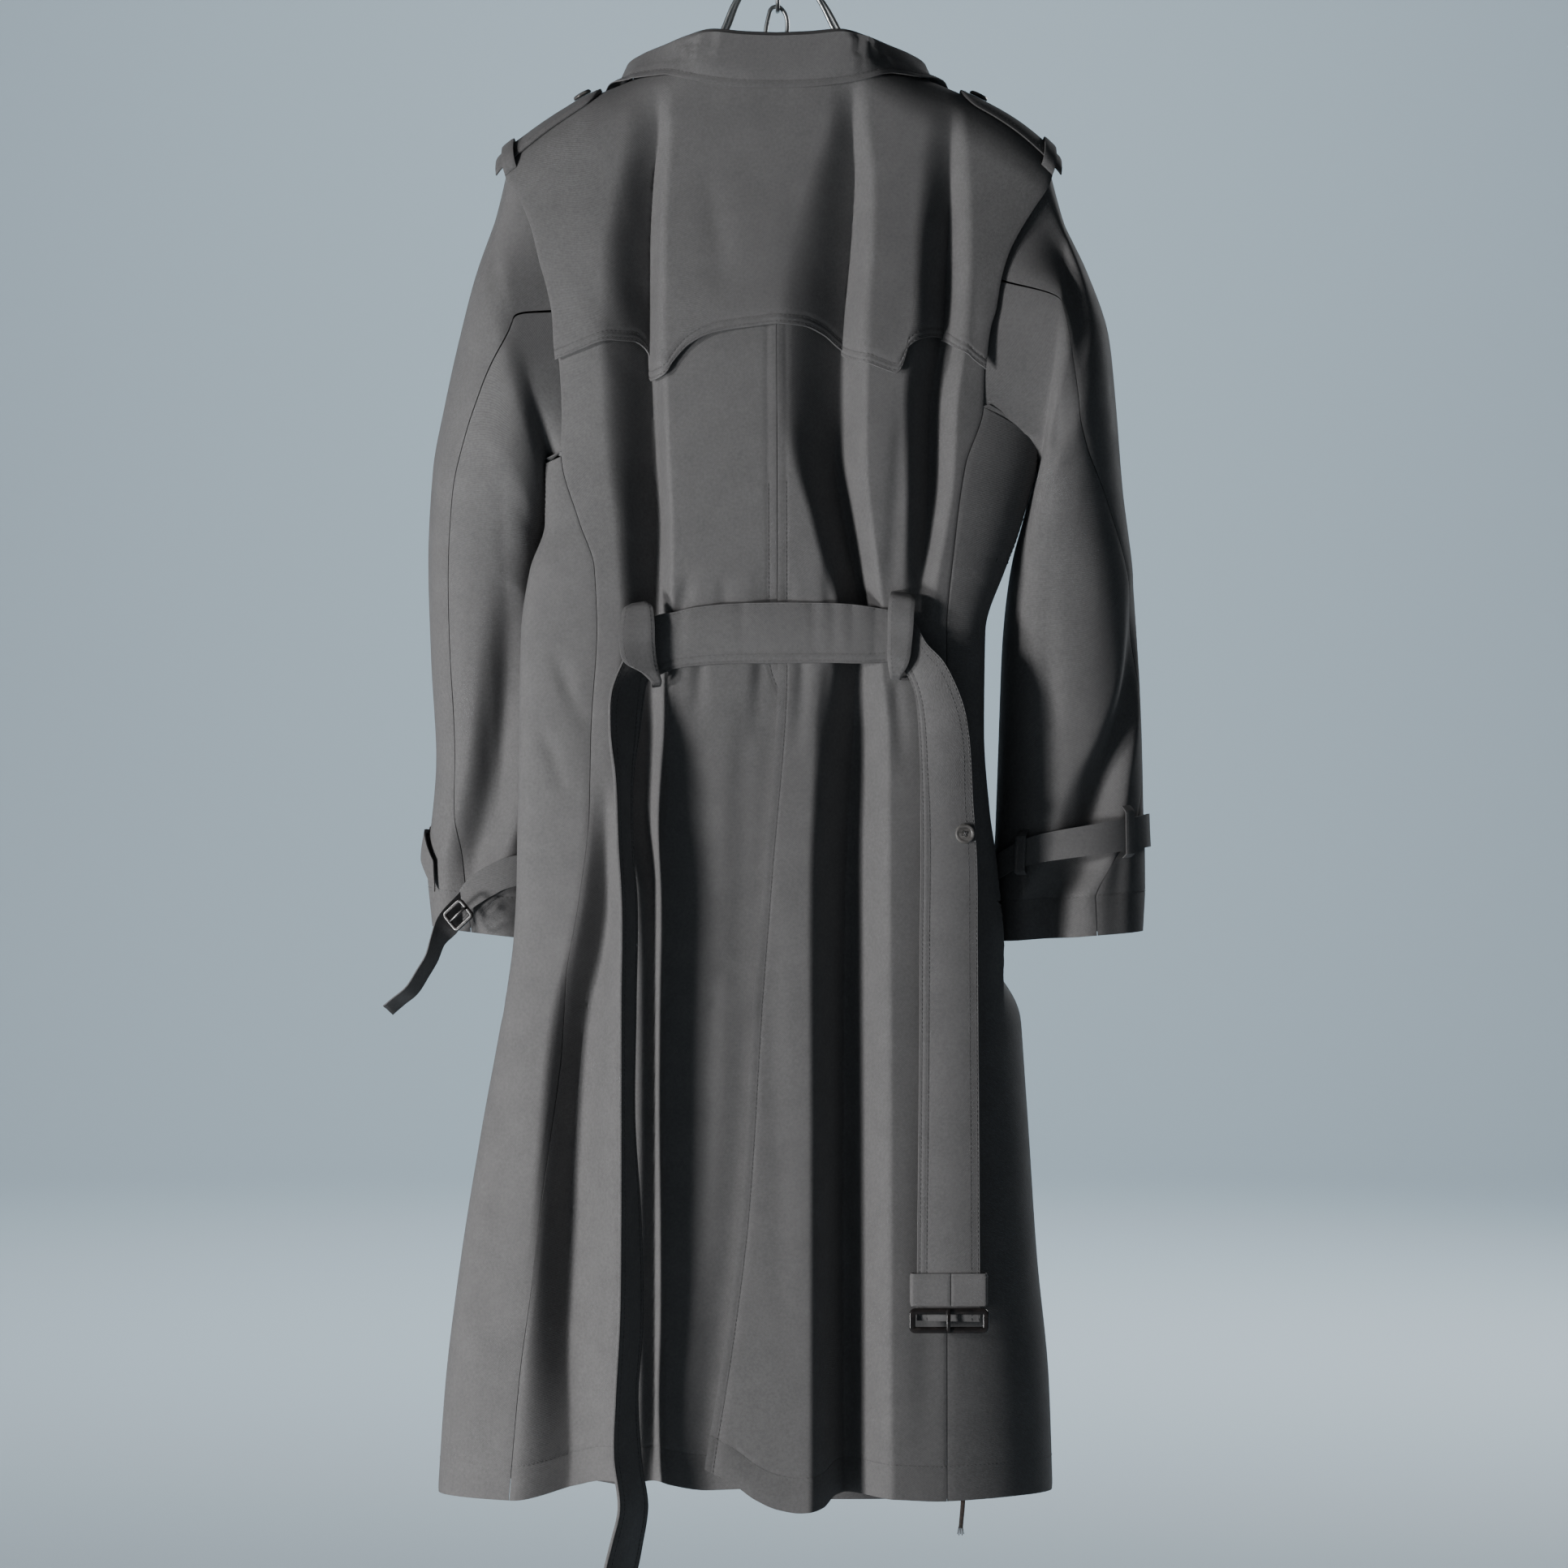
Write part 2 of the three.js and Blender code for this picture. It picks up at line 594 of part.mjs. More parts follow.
// Each lapel is folded back over its front along the line where the front's cloth ends.
const LAPEL_LIFT = 4.7;
function lapel(side) {
  const sign = side === "left" ? -1 : 1;
  const outerEdge = smoothTable(["share", "out", "z"], [
    [0, 112, -272], [0.08, 128, -284], [0.3, 92, -322], [0.55, 36, -364], [0.8, -28, -402],
    [1, -74, -424],
  ]);
  return wall(10, 3, (s, t) => {
    const along = s * 0.9 + 0.03;
    const rollX = mix(NECK_FRONT.x, -FRONT_OVERLAP, along);
    const rollZ = mix(NECK_FRONT.z, LAPEL_END, along) - 2;
    const edge = outerEdge(along);
    const x = sign * mix(rollX, edge.out, t);
    const z = mix(rollZ, edge.z, t);
    return onFront(x, z, LAPEL_LIFT - frontDrop[side](x));
  }, { flip: side === "left" });
}
add("lapel_left", lapel("left"));
add("lapel_right", lapel("right"));

// The top of a shoulder by x and a share across it, -1 at the back and 1 at the front.
function shoulderPoint(x, share, lift = 0) {
  const at = (px, q) => {
    const z = shoulderLine(px) - SHOULDER_ROUND * (1 - Math.sqrt(1 - q * q));
    return q < 0 ? onBack(px, z) : onFront(px, z);
  };
  const point = at(x, share);
  const alongX = at(x + 1, share).sub(at(x - 1, share));
  const across = at(x, share + 0.02).sub(at(x, share - 0.02));
  return point.addScaledVector(alongX.cross(across).normalize(), lift);
}

// Points of the cloth round the neck with the way out of it there, which the collar keeps off.
const neckCloth = [];
for (let x = -168; x <= 168; x += 8) {
  for (let q = -0.96; q <= 0.97; q += 0.12) {
    const point = shoulderPoint(x, q);
    const inNeck = q < 0 ? point.z > NECK_HEIGHT : Math.abs(x) < 114 && point.z > neckFront(Math.abs(x));
    if (!inNeck) neckCloth.push([point, shoulderPoint(x, q, 1).sub(point)]);
  }
  for (let z = -170; z > -330; z -= 8) {
    for (const [place, towards] of [[onBack, -1], [onFront, 1]]) {
      const inNeck = towards > 0 && (Math.abs(x) < 62 || z > neckFront(Math.abs(x)));
      if (z < shoulderLine(x) - SHOULDER_ROUND && !inNeck)
        neckCloth.push([place(x, z), new THREE.Vector3(0, towards, 0)]);
    }
  }
}
function keptOff(point, clearance) {
  let nearest = neckCloth[0];
  for (const sample of neckCloth)
    if (sample[0].distanceToSquared(point) < nearest[0].distanceToSquared(point)) nearest = sample;
  const away = point.clone().sub(nearest[0]).dot(nearest[1]);
  return point.clone().addScaledVector(nearest[1], Math.max(0, clearance - away));
}

// Collar. Each curve runs from the middle of the back to the front end of one side.
const COLLAR_MIDDLE = -1;
const neckSeam = smoothTable(["share", "out"], [
  [0, 0], [0.12, 25], [0.25, 50], [0.36, 71], [0.46, 91],
]);
// Over the shoulder the seam runs on, across from the back at -1 to the front at 1.
const neckSeamOver = smoothTable(["share", "out", "across"], [
  [0.46, 91, -0.8], [0.52, 102, -0.66], [0.58, 110, -0.3], [0.64, 114, 0.2], [0.69, 110, 0.66],
  [0.74, 103, 0.94],
]);
const neckSeamFront = smoothTable(["share", "out"], [[0.74, 103], [0.86, 86], [1, 64]]);
const collarRoll = smoothTable(["share", "out", "y", "z"], [
  [0, 0, -49, -133], [0.12, 25, -48.5, -132], [0.25, 52, -46, -129.5], [0.36, 72, -39, -134],
  [0.46, 90, -26, -140], [0.56, 107, -10, -145], [0.64, 119, 6, -151], [0.74, 119, 34, -166],
  [0.86, 97, 58, -194], [1, 70, 63, -226],
]);
const collarEdge = smoothTable(["share", "out", "y", "z"], [
  [0, 0, -60, -179], [0.12, 25, -59.5, -178.5], [0.25, 50, -58, -176], [0.36, 72, -54, -172],
  [0.46, 96, -44, -164], [0.56, 118, -30, -158], [0.64, 134, -4, -170], [0.74, 142, 34, -198],
  [0.86, 139, 60, -236], [1, 122, 68, -288],
]);
function neckSeamAt(share, sign) {
  if (share > 0.46 && share < 0.74) {
    const over = neckSeamOver(share);
    return shoulderPoint(sign * over.out, over.across);
  }
  const back = share <= 0.46;
  const x = COLLAR_MIDDLE * (1 - share) + sign * (back ? neckSeam(share) : neckSeamFront(share)).out;
  return back ? onBack(x, backTop(x)) : onFront(x, Math.min(neckFront(Math.abs(x)), shoulderLine(x)));
}
// The collar at a share of its length: its roll and outer edge, the neck seam below, and at the roll
// the ways down the leaf and out of it.
function collarAt(s) {
  const sign = s < 0.5 ? -1 : 1;
  const share = Math.abs(s - 0.5) * 2;
  const vector = (r) => new THREE.Vector3(COLLAR_MIDDLE + sign * r.out, r.y, r.z);
  const roll = vector(collarRoll(share));
  const edge = vector(collarEdge(share));
  const along = vector(collarRoll(share + 0.03)).sub(vector(collarRoll(share - 0.03))).normalize();
  const leaf = edge.clone().sub(roll);
  const down = leaf.addScaledVector(along, -leaf.dot(along)).normalize();
  const out = down.clone().cross(along).multiplyScalar(sign);
  const seam = neckSeamAt(share, sign);
  seam.z += mix(0.6, 4.5, smoothStep((share - 0.36) / 0.1));
  return { roll, edge, seam, out, down, share };
}
add(
  "collar_stand",
  wall(32, 2, (s, t) => {
    const c = collarAt(s);
    // In front the stand keeps behind the leaf that folds over it.
    const behind = 1.2 + 5 * smoothStep((c.share - 0.44) / 0.26);
    const drop = mix(8, 12, smoothStep((c.share - 0.66) / 0.1));
    const top = c.roll.addScaledVector(c.out, -behind).addScaledVector(c.down, drop);
    return c.seam.lerp(top, t);
  }, { flip: true }),
);
add(
  "collar_fall",
  wall(24, 6, (s, _, i, j) => {
    const c = collarAt(s);
    if (j === 0) return c.roll.addScaledVector(c.out, -1.2).addScaledVector(c.down, 3.4);
    if (j === 1) return c.roll;
    const over = c.roll.clone().addScaledVector(c.out, 3.6).addScaledVector(c.down, 2.6);
    if (j === 2) return over;
    const point = over.lerp(c.edge, (j - 2) / 4);
    return keptOff(point, c.share > 0.6 ? 9 : 7);
  }),
);

// Sleeves. The angle round a section is 0 at its outer point and minus a quarter turn at its back.
const SLEEVE_FOLDS = {
  left: [
    smoothTable(["step", "angle", "depth", "before", "after"], [
      [5.5, -118, 0, 22, 22], [7, -110, 13, 30, 30], [8, -98, 18, 30, 32], [9.3, -80, 17, 28, 30],
      [10.5, -72, 9, 24, 26], [12, -70, 4, 24, 24],
    ]),
  ],
  right: [
    smoothTable(["step", "angle", "depth", "before", "after"], [
      [6, -14, 0, 20, 20], [7, -26, 9, 24, 24], [8.3, -66, 16, 30, 26], [10, -86, 18, 30, 26],
      [11, -106, 16, 28, 26], [12, -110, 14, 26, 26],
    ]),
    smoothTable(["step", "angle", "depth", "before", "after"], [
      [0, -36, 0, 20, 16], [0.8, -44, 11, 26, 20], [1.6, -50, 8, 26, 20], [2.6, -56, 0, 26, 20],
    ]),
  ],
};
const degrees = (a) => (a * Math.PI) / 180;
function sleevePoint(side, step, angle, lift = 0, folded = true) {
  const r = sleeveRows[side](Math.max(step, 1));
  const c = power(Math.cos(angle), 2 / SLEEVE_SQUARE);
  const s = power(Math.sin(angle), 2 / SLEEVE_SQUARE);
  const half = new THREE.Vector3((r.outX - r.inX) / 2, 0, (r.outZ - r.inZ) / 2);
  const middle = new THREE.Vector3((r.outX + r.inX) / 2, r.midY, (r.outZ + r.inZ) / 2);
  const point = middle.clone().addScaledVector(half, c);
  point.y += r.halfY * s;
  const out = half
    .clone()
    .multiplyScalar(power(c, SLEEVE_SQUARE - 1) / half.lengthSq())
    .add(new THREE.Vector3(0, power(s, SLEEVE_SQUARE - 1) / r.halfY, 0))
    .normalize();
  const turn = (Math.atan2(Math.sin(angle), Math.cos(angle)) * 180) / Math.PI;
  let depth = 0;
  for (const foldAt of SLEEVE_FOLDS[side]) {
    const f = foldAt(step);
    const away = turn - f.angle;
    depth += f.depth * bump(away / (away < 0 ? f.before : f.after));
  }
  return point.addScaledVector(out, folded ? lift - depth : lift);
}
function sleeveNormal(side, step, angle) {
  const round = sleevePoint(side, step, angle + 0.12).sub(sleevePoint(side, step, angle - 0.12));
  const along = sleevePoint(side, step + 0.3, angle).sub(sleevePoint(side, step - 0.3, angle));
  return (side === "left" ? round.cross(along) : along.cross(round)).normalize();
}
// The armhole by the same angle, just clear of the back, the front and the cloth under the arm.
const UNDER_ARM_FROM = 0.8;
function armholePoint(side, angle) {
  const sign = side === "left" ? -1 : 1;
  const turn = Math.atan2(Math.sin(angle), Math.cos(angle)) / Math.PI;
  if (Math.abs(turn) >= UNDER_ARM_FROM) {
    const span = 2 * (1 - UNDER_ARM_FROM);
    const t = turn > 0 ? (turn - UNDER_ARM_FROM) / span : 1 - (-turn - UNDER_ARM_FROM) / span;
    const z = underArmHeight(side, t);
    const frontX = frontArmhole[side](z);
    const point = bodyPoint(sideAngle(side, t, z, frontX), z, 5);
    point.z += 4.5;
    return point;
  }
  const down = (1 - Math.cos((turn / UNDER_ARM_FROM) * Math.PI)) / 2;
  const edge = turn < 0 ? backEdge[side] : frontArmhole[side];
  const bottom = underArm[side][turn < 0 ? 2 : 0];
  const z = mix(SHOULDER_POINT[side] + 1, bottom, down);
  const x = edge(z) + sign * 1.9;
  return turn < 0 ? onBack(x, z) : onFront(x, z);
}
const SLEEVE_SEAM = {
  left: smoothTable(["step", "angle"], [[0, -74], [1, -80], [3, -68], [5, -58], [8, -52], [10, -64], [12, -72]]),
  right: smoothTable(["step", "angle"], [
    [0, -72], [1, -71], [3, -80], [4, -72], [5, -50], [6, -28], [7, -10], [8, -8], [9, -30],
    [10, -60], [11, -75], [12, -72],
  ]),
};
const SEAM_TO_SEAM = 170; // degrees of the section that the upper sleeve covers
const SLEEVE_END = 11.8;
function sleevePiece(side, upper) {
  const loops = 13;
  return wall(
    upper ? 13 : 12,
    loops,
    (s, _, i, j) => {
      const step = j === 0 ? 0 : mix(1, SLEEVE_END, (j - 1) / (loops - 1));
      const seam = SLEEVE_SEAM[side](step).angle;
      const set = 0.4;
      const from = upper ? seam + set : seam + SEAM_TO_SEAM + set;
      const to = upper ? seam + SEAM_TO_SEAM - set : seam + 360 - set;
      const angle = degrees(mix(from, to, s));
      return j === 0 ? armholePoint(side, angle) : sleevePoint(side, step, angle);
    },
    {
      flip: side === "left",
      edgeNormal: (i, j) => {
        if (j === 0 || (i > 0 && i < (upper ? 13 : 12))) return null;
        const step = mix(1, SLEEVE_END, (j - 1) / (loops - 1));
        const seam = SLEEVE_SEAM[side](step).angle;
        return sleeveNormal(side, step, degrees((i === 0) === upper ? seam : seam + SEAM_TO_SEAM));
      },
    },
  );
}
for (const side of ["left", "right"]) {
  add("sleeve_" + side + "_upper", sleevePiece(side, true));
  add("sleeve_" + side + "_under", sleevePiece(side, false));
}

// Straps are walls between pairs of edge points.
function strap(pairs, options = {}) {
  const { across = 2, ...rest } = options;
  return wall(
    pairs.length - 1,
    across,
    (_, t, i) => {
      const [ax, ay, az, bx, by, bz] = pairs[i];
      return new THREE.Vector3(mix(ax, bx, t), mix(ay, by, t), mix(az, bz, t));
    },
    { thick: STRAP, ...rest },
  );
}
const pair = (a, b) => [a.x, a.y, a.z, b.x, b.y, b.z];

// The belt is one length: the free end on the left, the stretch across the back and the end that
// carries the buckle on the right. The first point of a pair is on the edge that is uppermost
// across the back.
const BELT_LEFT = [
  [-134, -128, -1402, -128, -114, -1404], [-138, -141, -1384, -116, -99, -1388],
  [-135.6, -142, -1368, -111.8, -98, -1376], [-129.8, -142, -1344, -106.6, -98, -1351],
  [-124, -142, -1319, -102.7, -98, -1325], [-128.5, -142, -1277, -107.2, -98, -1290],
  [-127.2, -141, -1231, -110.5, -97, -1237], [-124, -141, -1173, -106.6, -96.5, -1178],
  [-122.9, -140, -1090, -108, -96, -1095], [-122.7, -139, -1012, -113.1, -95, -1015],
  [-122.7, -138, -920, -112.3, -93, -922], [-122.7, -136, -831, -111.8, -92, -832],
  [-125, -133, -795, -114.5, -90, -800], [-127.9, -128, -737, -114.4, -88, -737],
  [-132.4, -121, -700, -110, -86, -705], [-131.5, -108, -668, -107, -84, -680],
  [-122.7, -94, -644, -104.5, -83, -664], [-112, -84.5, -622, -100, -81.5, -658],
  [-99, -81.5, -609, -94, -81, -656],
];
const BELT_RIGHT = [
  [100, -79.5, -605, 97, -79.5, -648], [111, -81, -615, 104, -80, -656],
  [119.5, -84, -630, 109, -81, -667], [132.6, -87, -644, 111.5, -82, -680],
  [144, -88, -665, 113, -83, -697], [150.5, -87.5, -683, 114, -84, -715],
  [154.2, -86, -703, 114.8, -85, -737], [158, -84, -760, 115, -86, -770],
  [160.7, -84, -800, 115.2, -86.5, -800], [161.5, -85, -870, 114.5, -87, -870],
  [162, -86.5, -960, 114, -88, -960], [162.5, -89.5, -1050, 113, -90.5, -1050],
  [162.7, -92, -1120, 112.2, -92.5, -1120], [163, -92.5, -1158, 112, -92.5, -1156],
  [163, -92.5, -1176, 112, -92.5, -1175],
];
const beltAcross = smoothTable(["x", "top", "bottom"], [
  [-90, -608, -653], [-78, -603.4, -650.5], [-55, -600, -648], [-27, -598, -647], [9, -597.5, -646.8],
  [42, -598, -646.5], [65, -599.5, -647], [88, -603.4, -646],
]);
const beltBack = [];
for (let x = -84; x <= 90; x += 14.5) {
  const b = beltAcross(x);
  const top = bodyPoint(bodyAngle(x, b.top, "back"), b.top, LIE_GAP + STRAP + 1.4, false);
  const bottom = bodyPoint(bodyAngle(x, b.bottom, "back"), b.bottom, LIE_GAP + STRAP + 1.4, false);
  beltBack.push(pair(top, bottom));
}
add("belt", strap([...BELT_LEFT, ...beltBack, ...BELT_RIGHT]));

// Belt loops, keeper and what is fixed to the belt
add("belt_loop_left", strap([
  [-118, -79, -598, -106, -79, -596], [-124, -86, -602, -101, -86, -600],
  [-126, -92, -612, -99, -90, -611], [-126.5, -97, -632, -98, -91, -634],
  [-122, -98, -647, -96, -90, -650], [-108, -92, -656, -94, -88, -657],
  [-101.5, -86, -663, -93, -85, -662], [-101, -78, -667, -94, -78, -666],
], { thick: 2, flip: true }));
add("belt_loop_right", strap([
  [92, -75.8, -588, 111, -75.2, -591], [90.5, -84, -592, 111, -84, -595],
  [89, -87, -602, 110, -88, -604], [88.5, -87, -626, 108.5, -88, -626],
  [88.5, -87, -646, 105, -88, -648], [90, -84, -656, 100.5, -84, -657],
  [91, -75.8, -660, 99.5, -75.8, -661],
], { thick: 2, flip: true }));

function keeper() {
  const [left, right, front, back] = [106.4, 168.8, -95.3, -85.4];
  const corner = 3;
  const joint = 139;
  const round = [
    [joint - 0.3, front], [left + corner, front], [left, front + corner], [left, back - corner],
    [left + corner, back], [right - corner, back], [right, back - corner], [right, front + corner],
    [right - corner, front], [joint + 0.3, front],
  ];
  return wall(round.length - 1, 1, (_, t, i) => {
    const [x, y] = round[i];
    return new THREE.Vector3(x, y, mix(-1137, -1163, t));
  }, { thick: 2.2, flip: true });
}
add("belt_keeper", keeper());

// A flat frame with rounded corners and a bar's width all round, lying in the plane of two directions.
function frame(width, height, bar, depth, place) {
  const outline = (shape, w, h, r) => {
    shape.moveTo(-w / 2 + r, -h / 2);
    shape.lineTo(w / 2 - r, -h / 2);
    shape.quadraticCurveTo(w / 2, -h / 2, w / 2, -h / 2 + r);
    shape.lineTo(w / 2, h / 2 - r);
    shape.quadraticCurveTo(w / 2, h / 2, w / 2 - r, h / 2);
    shape.lineTo(-w / 2 + r, h / 2);
    shape.quadraticCurveTo(-w / 2, h / 2, -w / 2, h / 2 - r);
    shape.lineTo(-w / 2, -h / 2 + r);
    shape.quadraticCurveTo(-w / 2, -h / 2, -w / 2 + r, -h / 2);
    return shape;
  };
  const shape = outline(new THREE.Shape(), width, height, 3);
  shape.holes.push(outline(new THREE.Path(), width - 2 * bar, height - 2 * bar, 1.5));
  const geometry = new THREE.ExtrudeGeometry(shape, { depth, bevelEnabled: false, curveSegments: 3 });
  geometry.applyMatrix4(place);
  return geometry;
}
// A place on a surface: the frame's own x runs along, its z out of the surface.
function placeAt(origin, along, out) {
  const z = out.clone().normalize();
  const x = along.clone().addScaledVector(z, -along.dot(z)).normalize();
  const y = z.clone().cross(x);
  return new THREE.Matrix4().makeBasis(x, y, z).setPosition(origin);
}
const BACKWARD = new THREE.Vector3(0, -1, 0);
const RIGHTWARD = new THREE.Vector3(1, 0, 0);
const buckleAt = placeAt(new THREE.Vector3(137.6, -93.2, -1174.5), RIGHTWARD, BACKWARD);
add("belt_buckle", frame(64, 20, 5, 4, buckleAt), MATERIALS.dark);
function bar(from, to, width, depth, out) {
  const along = to.clone().sub(from);
  const geometry = new THREE.BoxGeometry(along.length(), width, depth);
  geometry.applyMatrix4(placeAt(from.clone().add(to).multiplyScalar(0.5), along, out));
  return geometry;
}
add(
  "belt_buckle_prong",
  bar(new THREE.Vector3(137, -98.9, -1165), new THREE.Vector3(137, -98.9, -1184), 3.4, 2.6, BACKWARD),
  MATERIALS.dark,
);

function disc(centre, out, radius, thick) {
  const geometry = new THREE.CylinderGeometry(radius, radius, thick, 14);
  const turn = new THREE.Quaternion().setFromUnitVectors(new THREE.Vector3(0, 1, 0), out);
  geometry.applyQuaternion(turn);
  geometry.translate(centre.x, centre.y, centre.z);
  return geometry;
}
add(
  "belt_button",
  disc(new THREE.Vector3(150.9, -86.3, -784), BACKWARD, SMALL_BUTTON_RADIUS, 2.6),
  MATERIALS.horn,
);

// Front buttons in two columns of three
const FRONT_BUTTON_HEIGHTS = [-468, -578, -688];
FRONT_BUTTON_HEIGHTS.forEach((z, row) => {
  for (const [side, x] of [["left", -62], ["right", 62]]) {
    const point = onFront(x, z, LIE_GAP + 2.3);
    add(
      "front_button_" + side + "_" + (row + 1),
      disc(point, new THREE.Vector3(0, 1, 0), BUTTON_RADIUS, 3),
      MATERIALS.horn,
    );
  }
});

// Epaulettes lie on the shoulders over the yoke, under a small loop by the sleeve.
const EPAULETTES = {
  left: [
    [-143, -0.26, -0.02], [-148, -0.48, 0.14], [-156, -0.6, 0.24], [-172, -0.63, 0.26],
    [-188, -0.66, 0.28], [-204, -0.69, 0.31], [-218, -0.71, 0.34], [-227, -0.73, 0.36],
  ],
  right: [
    [148, -0.26, -0.02], [153, -0.48, 0.14], [161, -0.6, 0.24], [176, -0.63, 0.26],
    [192, -0.66, 0.28], [208, -0.69, 0.31], [220, -0.71, 0.34], [229, -0.73, 0.36],
  ],
};
const EPAULETTE_LIFT = LAP_DROP + LIE_GAP + STRAP + 1.4;
for (const side of ["left", "right"]) {
  const rows = EPAULETTES[side];
  const flip = side === "right";
  add(
    "epaulette_" + side,
    wall(rows.length - 1, 4, (_, t, i) => {
      const [x, back, front] = rows[i];
      return shoulderPoint(x, mix(back, front, t), EPAULETTE_LIFT);
    }, { thick: STRAP, flip }),
  );
  const loopX = side === "left" ? -216 : 218;
  const reach = [-0.86, -0.79, -0.62, -0.3, 0, 0.3, 0.46, 0.54];
  const lifts = [4, 8, 10, 9.8, 9.8, 9.6, 7.6, 2.8];
  add(
    "epaulette_loop_" + side,
    wall(1, reach.length - 1, (s, _, i, j) => {
      return shoulderPoint(loopX + mix(-4.5, 4.5, s), reach[j], lifts[j]);
    }, { thick: 1.6, flip: true }),
  );
  const buttonX = side === "left" ? -157 : 162;
  const foot = shoulderPoint(buttonX, -0.03, EPAULETTE_LIFT);
  const out = shoulderPoint(buttonX, -0.03, EPAULETTE_LIFT + 1).sub(foot);
  add(
    "epaulette_button_" + side,
    disc(foot.addScaledVector(out, LIE_GAP + 1.5), out, SMALL_BUTTON_RADIUS, 2.6),
    MATERIALS.horn,
  );
}

// Cuff straps go round a sleeve. Each row has an angle, the middle's step along the sleeve and a lift.
const CUFF_HALF = 0.4; // half the strap's width in steps of a sleeve's table
function cuffPoint(side, step, angle, lift) {
  return sleevePoint(side, step, degrees(angle), lift, false);
}
function cuffRow(side, [angle, step, lift]) {
  return pair(
    cuffPoint(side, step - CUFF_HALF, angle, lift),
    cuffPoint(side, step + CUFF_HALF, angle, lift),
  );
}
const CUFF_LIFT = LIE_GAP + 2.6;
// The left strap's free end hangs from its buckle, turned nearly edge on.
const CUFF_TAIL_LEFT = [
  [-322, -46, -924, -316, -30, -932], [-315, -47, -918, -307, -28, -924],
  [-304, -47, -909, -296, -28, -915], [-295, -46, -895, -287, -27, -901],
  [-288, -45, -883, -280, -26, -889], [-284, -43, -869, -274, -26, -875],
  [-279, -38, -854, -264, -26, -866],
];
const CUFF_ROWS = {
  left: [
    [-66, 11.1], [-74, 10.8], [-85, 10.5], [-100, 10.15], [-115, 10], [-132, 9.92], [-150, 9.87],
    [-165, 9.85], [-180, 9.82], [-200, 9.75], [-225, 9.7], [-250, 9.7], [-275, 9.7], [-300, 9.68],
    [-325, 9.65], [-345, 9.6], [-360, 9.6], [-375, 9.75], [-388, 10.05], [-399, 10.4],
  ].map((r) => [...r, CUFF_LIFT]),
  right: [
    [84, 9.3, 0], [62, 9.3, 0], [40, 9.3, 0], [20, 9.28, 0], [0, 9.26, 0], [-20, 9.26, 0],
    [-42, 9.28, 0], [-65, 9.3, 0], [-90, 9.33, 0], [-112, 9.38, 0], [-130, 9.5, 0],
    [-146, 9.7, 0], [-162, 9.85, 0], [-178, 9.85, 0], [-196, 9.7, 0], [-216, 9.5, 0],
    [-238, 9.4, 0], [-256, 9.33, 1], [-268, 9.3, 3.6], [-282, 9.3, 3.8], [-300, 9.3, 3.8],
    [-314, 9.3, 3.8],
  ].map(([angle, step, over]) => [angle, step, CUFF_LIFT + over]),
};
for (const side of ["left", "right"]) {
  const rows = CUFF_ROWS[side].map((row) => cuffRow(side, row));
  const tail = side === "left" ? CUFF_TAIL_LEFT : [];
  add("cuff_strap_" + side, strap([...tail, ...rows], { thick: 2, flip: side === "left" }));
}
const CUFF_LOOPS = {
  left: [[-118, 9.97], [25, 9.65]],
  right: [[-128, 9.48], [-47, 9.28]],
};
for (const side of ["left", "right"]) {
  CUFF_LOOPS[side].forEach(([angle, middle], k) => {
    const reach = [-0.62, -0.56, -0.49, -0.2, 0.2, 0.49, 0.56, 0.62];
    const lifts = [1.55, 5, 7.2, 7.2, 7.2, 7.2, 5, 1.55];
    add(
      "cuff_loop_" + side + "_" + (k + 1),
      wall(1, reach.length - 1, (s, _, i, j) => {
        return cuffPoint(side, middle + reach[j], angle + mix(-4.6, 4.6, s), lifts[j]);
      }, { thick: 1.2, flip: side === "left" }),
    );
  });
}
const cuffBuckleOut = { left: new THREE.Vector3(-0.3, -0.95, 0), right: new THREE.Vector3(0, 1, 0) };
const cuffBuckleAlong = { left: new THREE.Vector3(0.77, 0, 0.64), right: new THREE.Vector3(1, 0, 0) };
const cuffBuckleMiddle = {
  left: new THREE.Vector3(-260, -40, -851),
  right: cuffPoint("right", 9.3, 88, CUFF_LIFT + 7.6),
};
for (const side of ["left", "right"]) {
  const out = cuffBuckleOut[side].normalize();
  const along = cuffBuckleAlong[side].normalize();
  const place = placeAt(cuffBuckleMiddle[side], along, out);
  add("cuff_buckle_" + side, frame(22, side === "left" ? 20 : 31, 3.4, 3, place), MATERIALS.dark);
  const middle = cuffBuckleMiddle[side].clone().addScaledVector(out, 4.6);
  const from = middle.clone().addScaledVector(along, -9);
  const to = middle.clone().addScaledVector(along, 10);
  add("cuff_prong_" + side, bar(from, to, 2.4, 2.2, out), MATERIALS.dark);
}

// A short tie hangs out of the hem on the right.
add("hem_tie", strap([
  [148, -67.8, -1296, 151.7, -67.8, -1296], [148.2, -67.8, -1322, 151.9, -67.8, -1322],
  [146.4, -67.8, -1349, 149.9, -67.8, -1349],
], { across: 1, thick: 1 }), MATERIALS.horn);

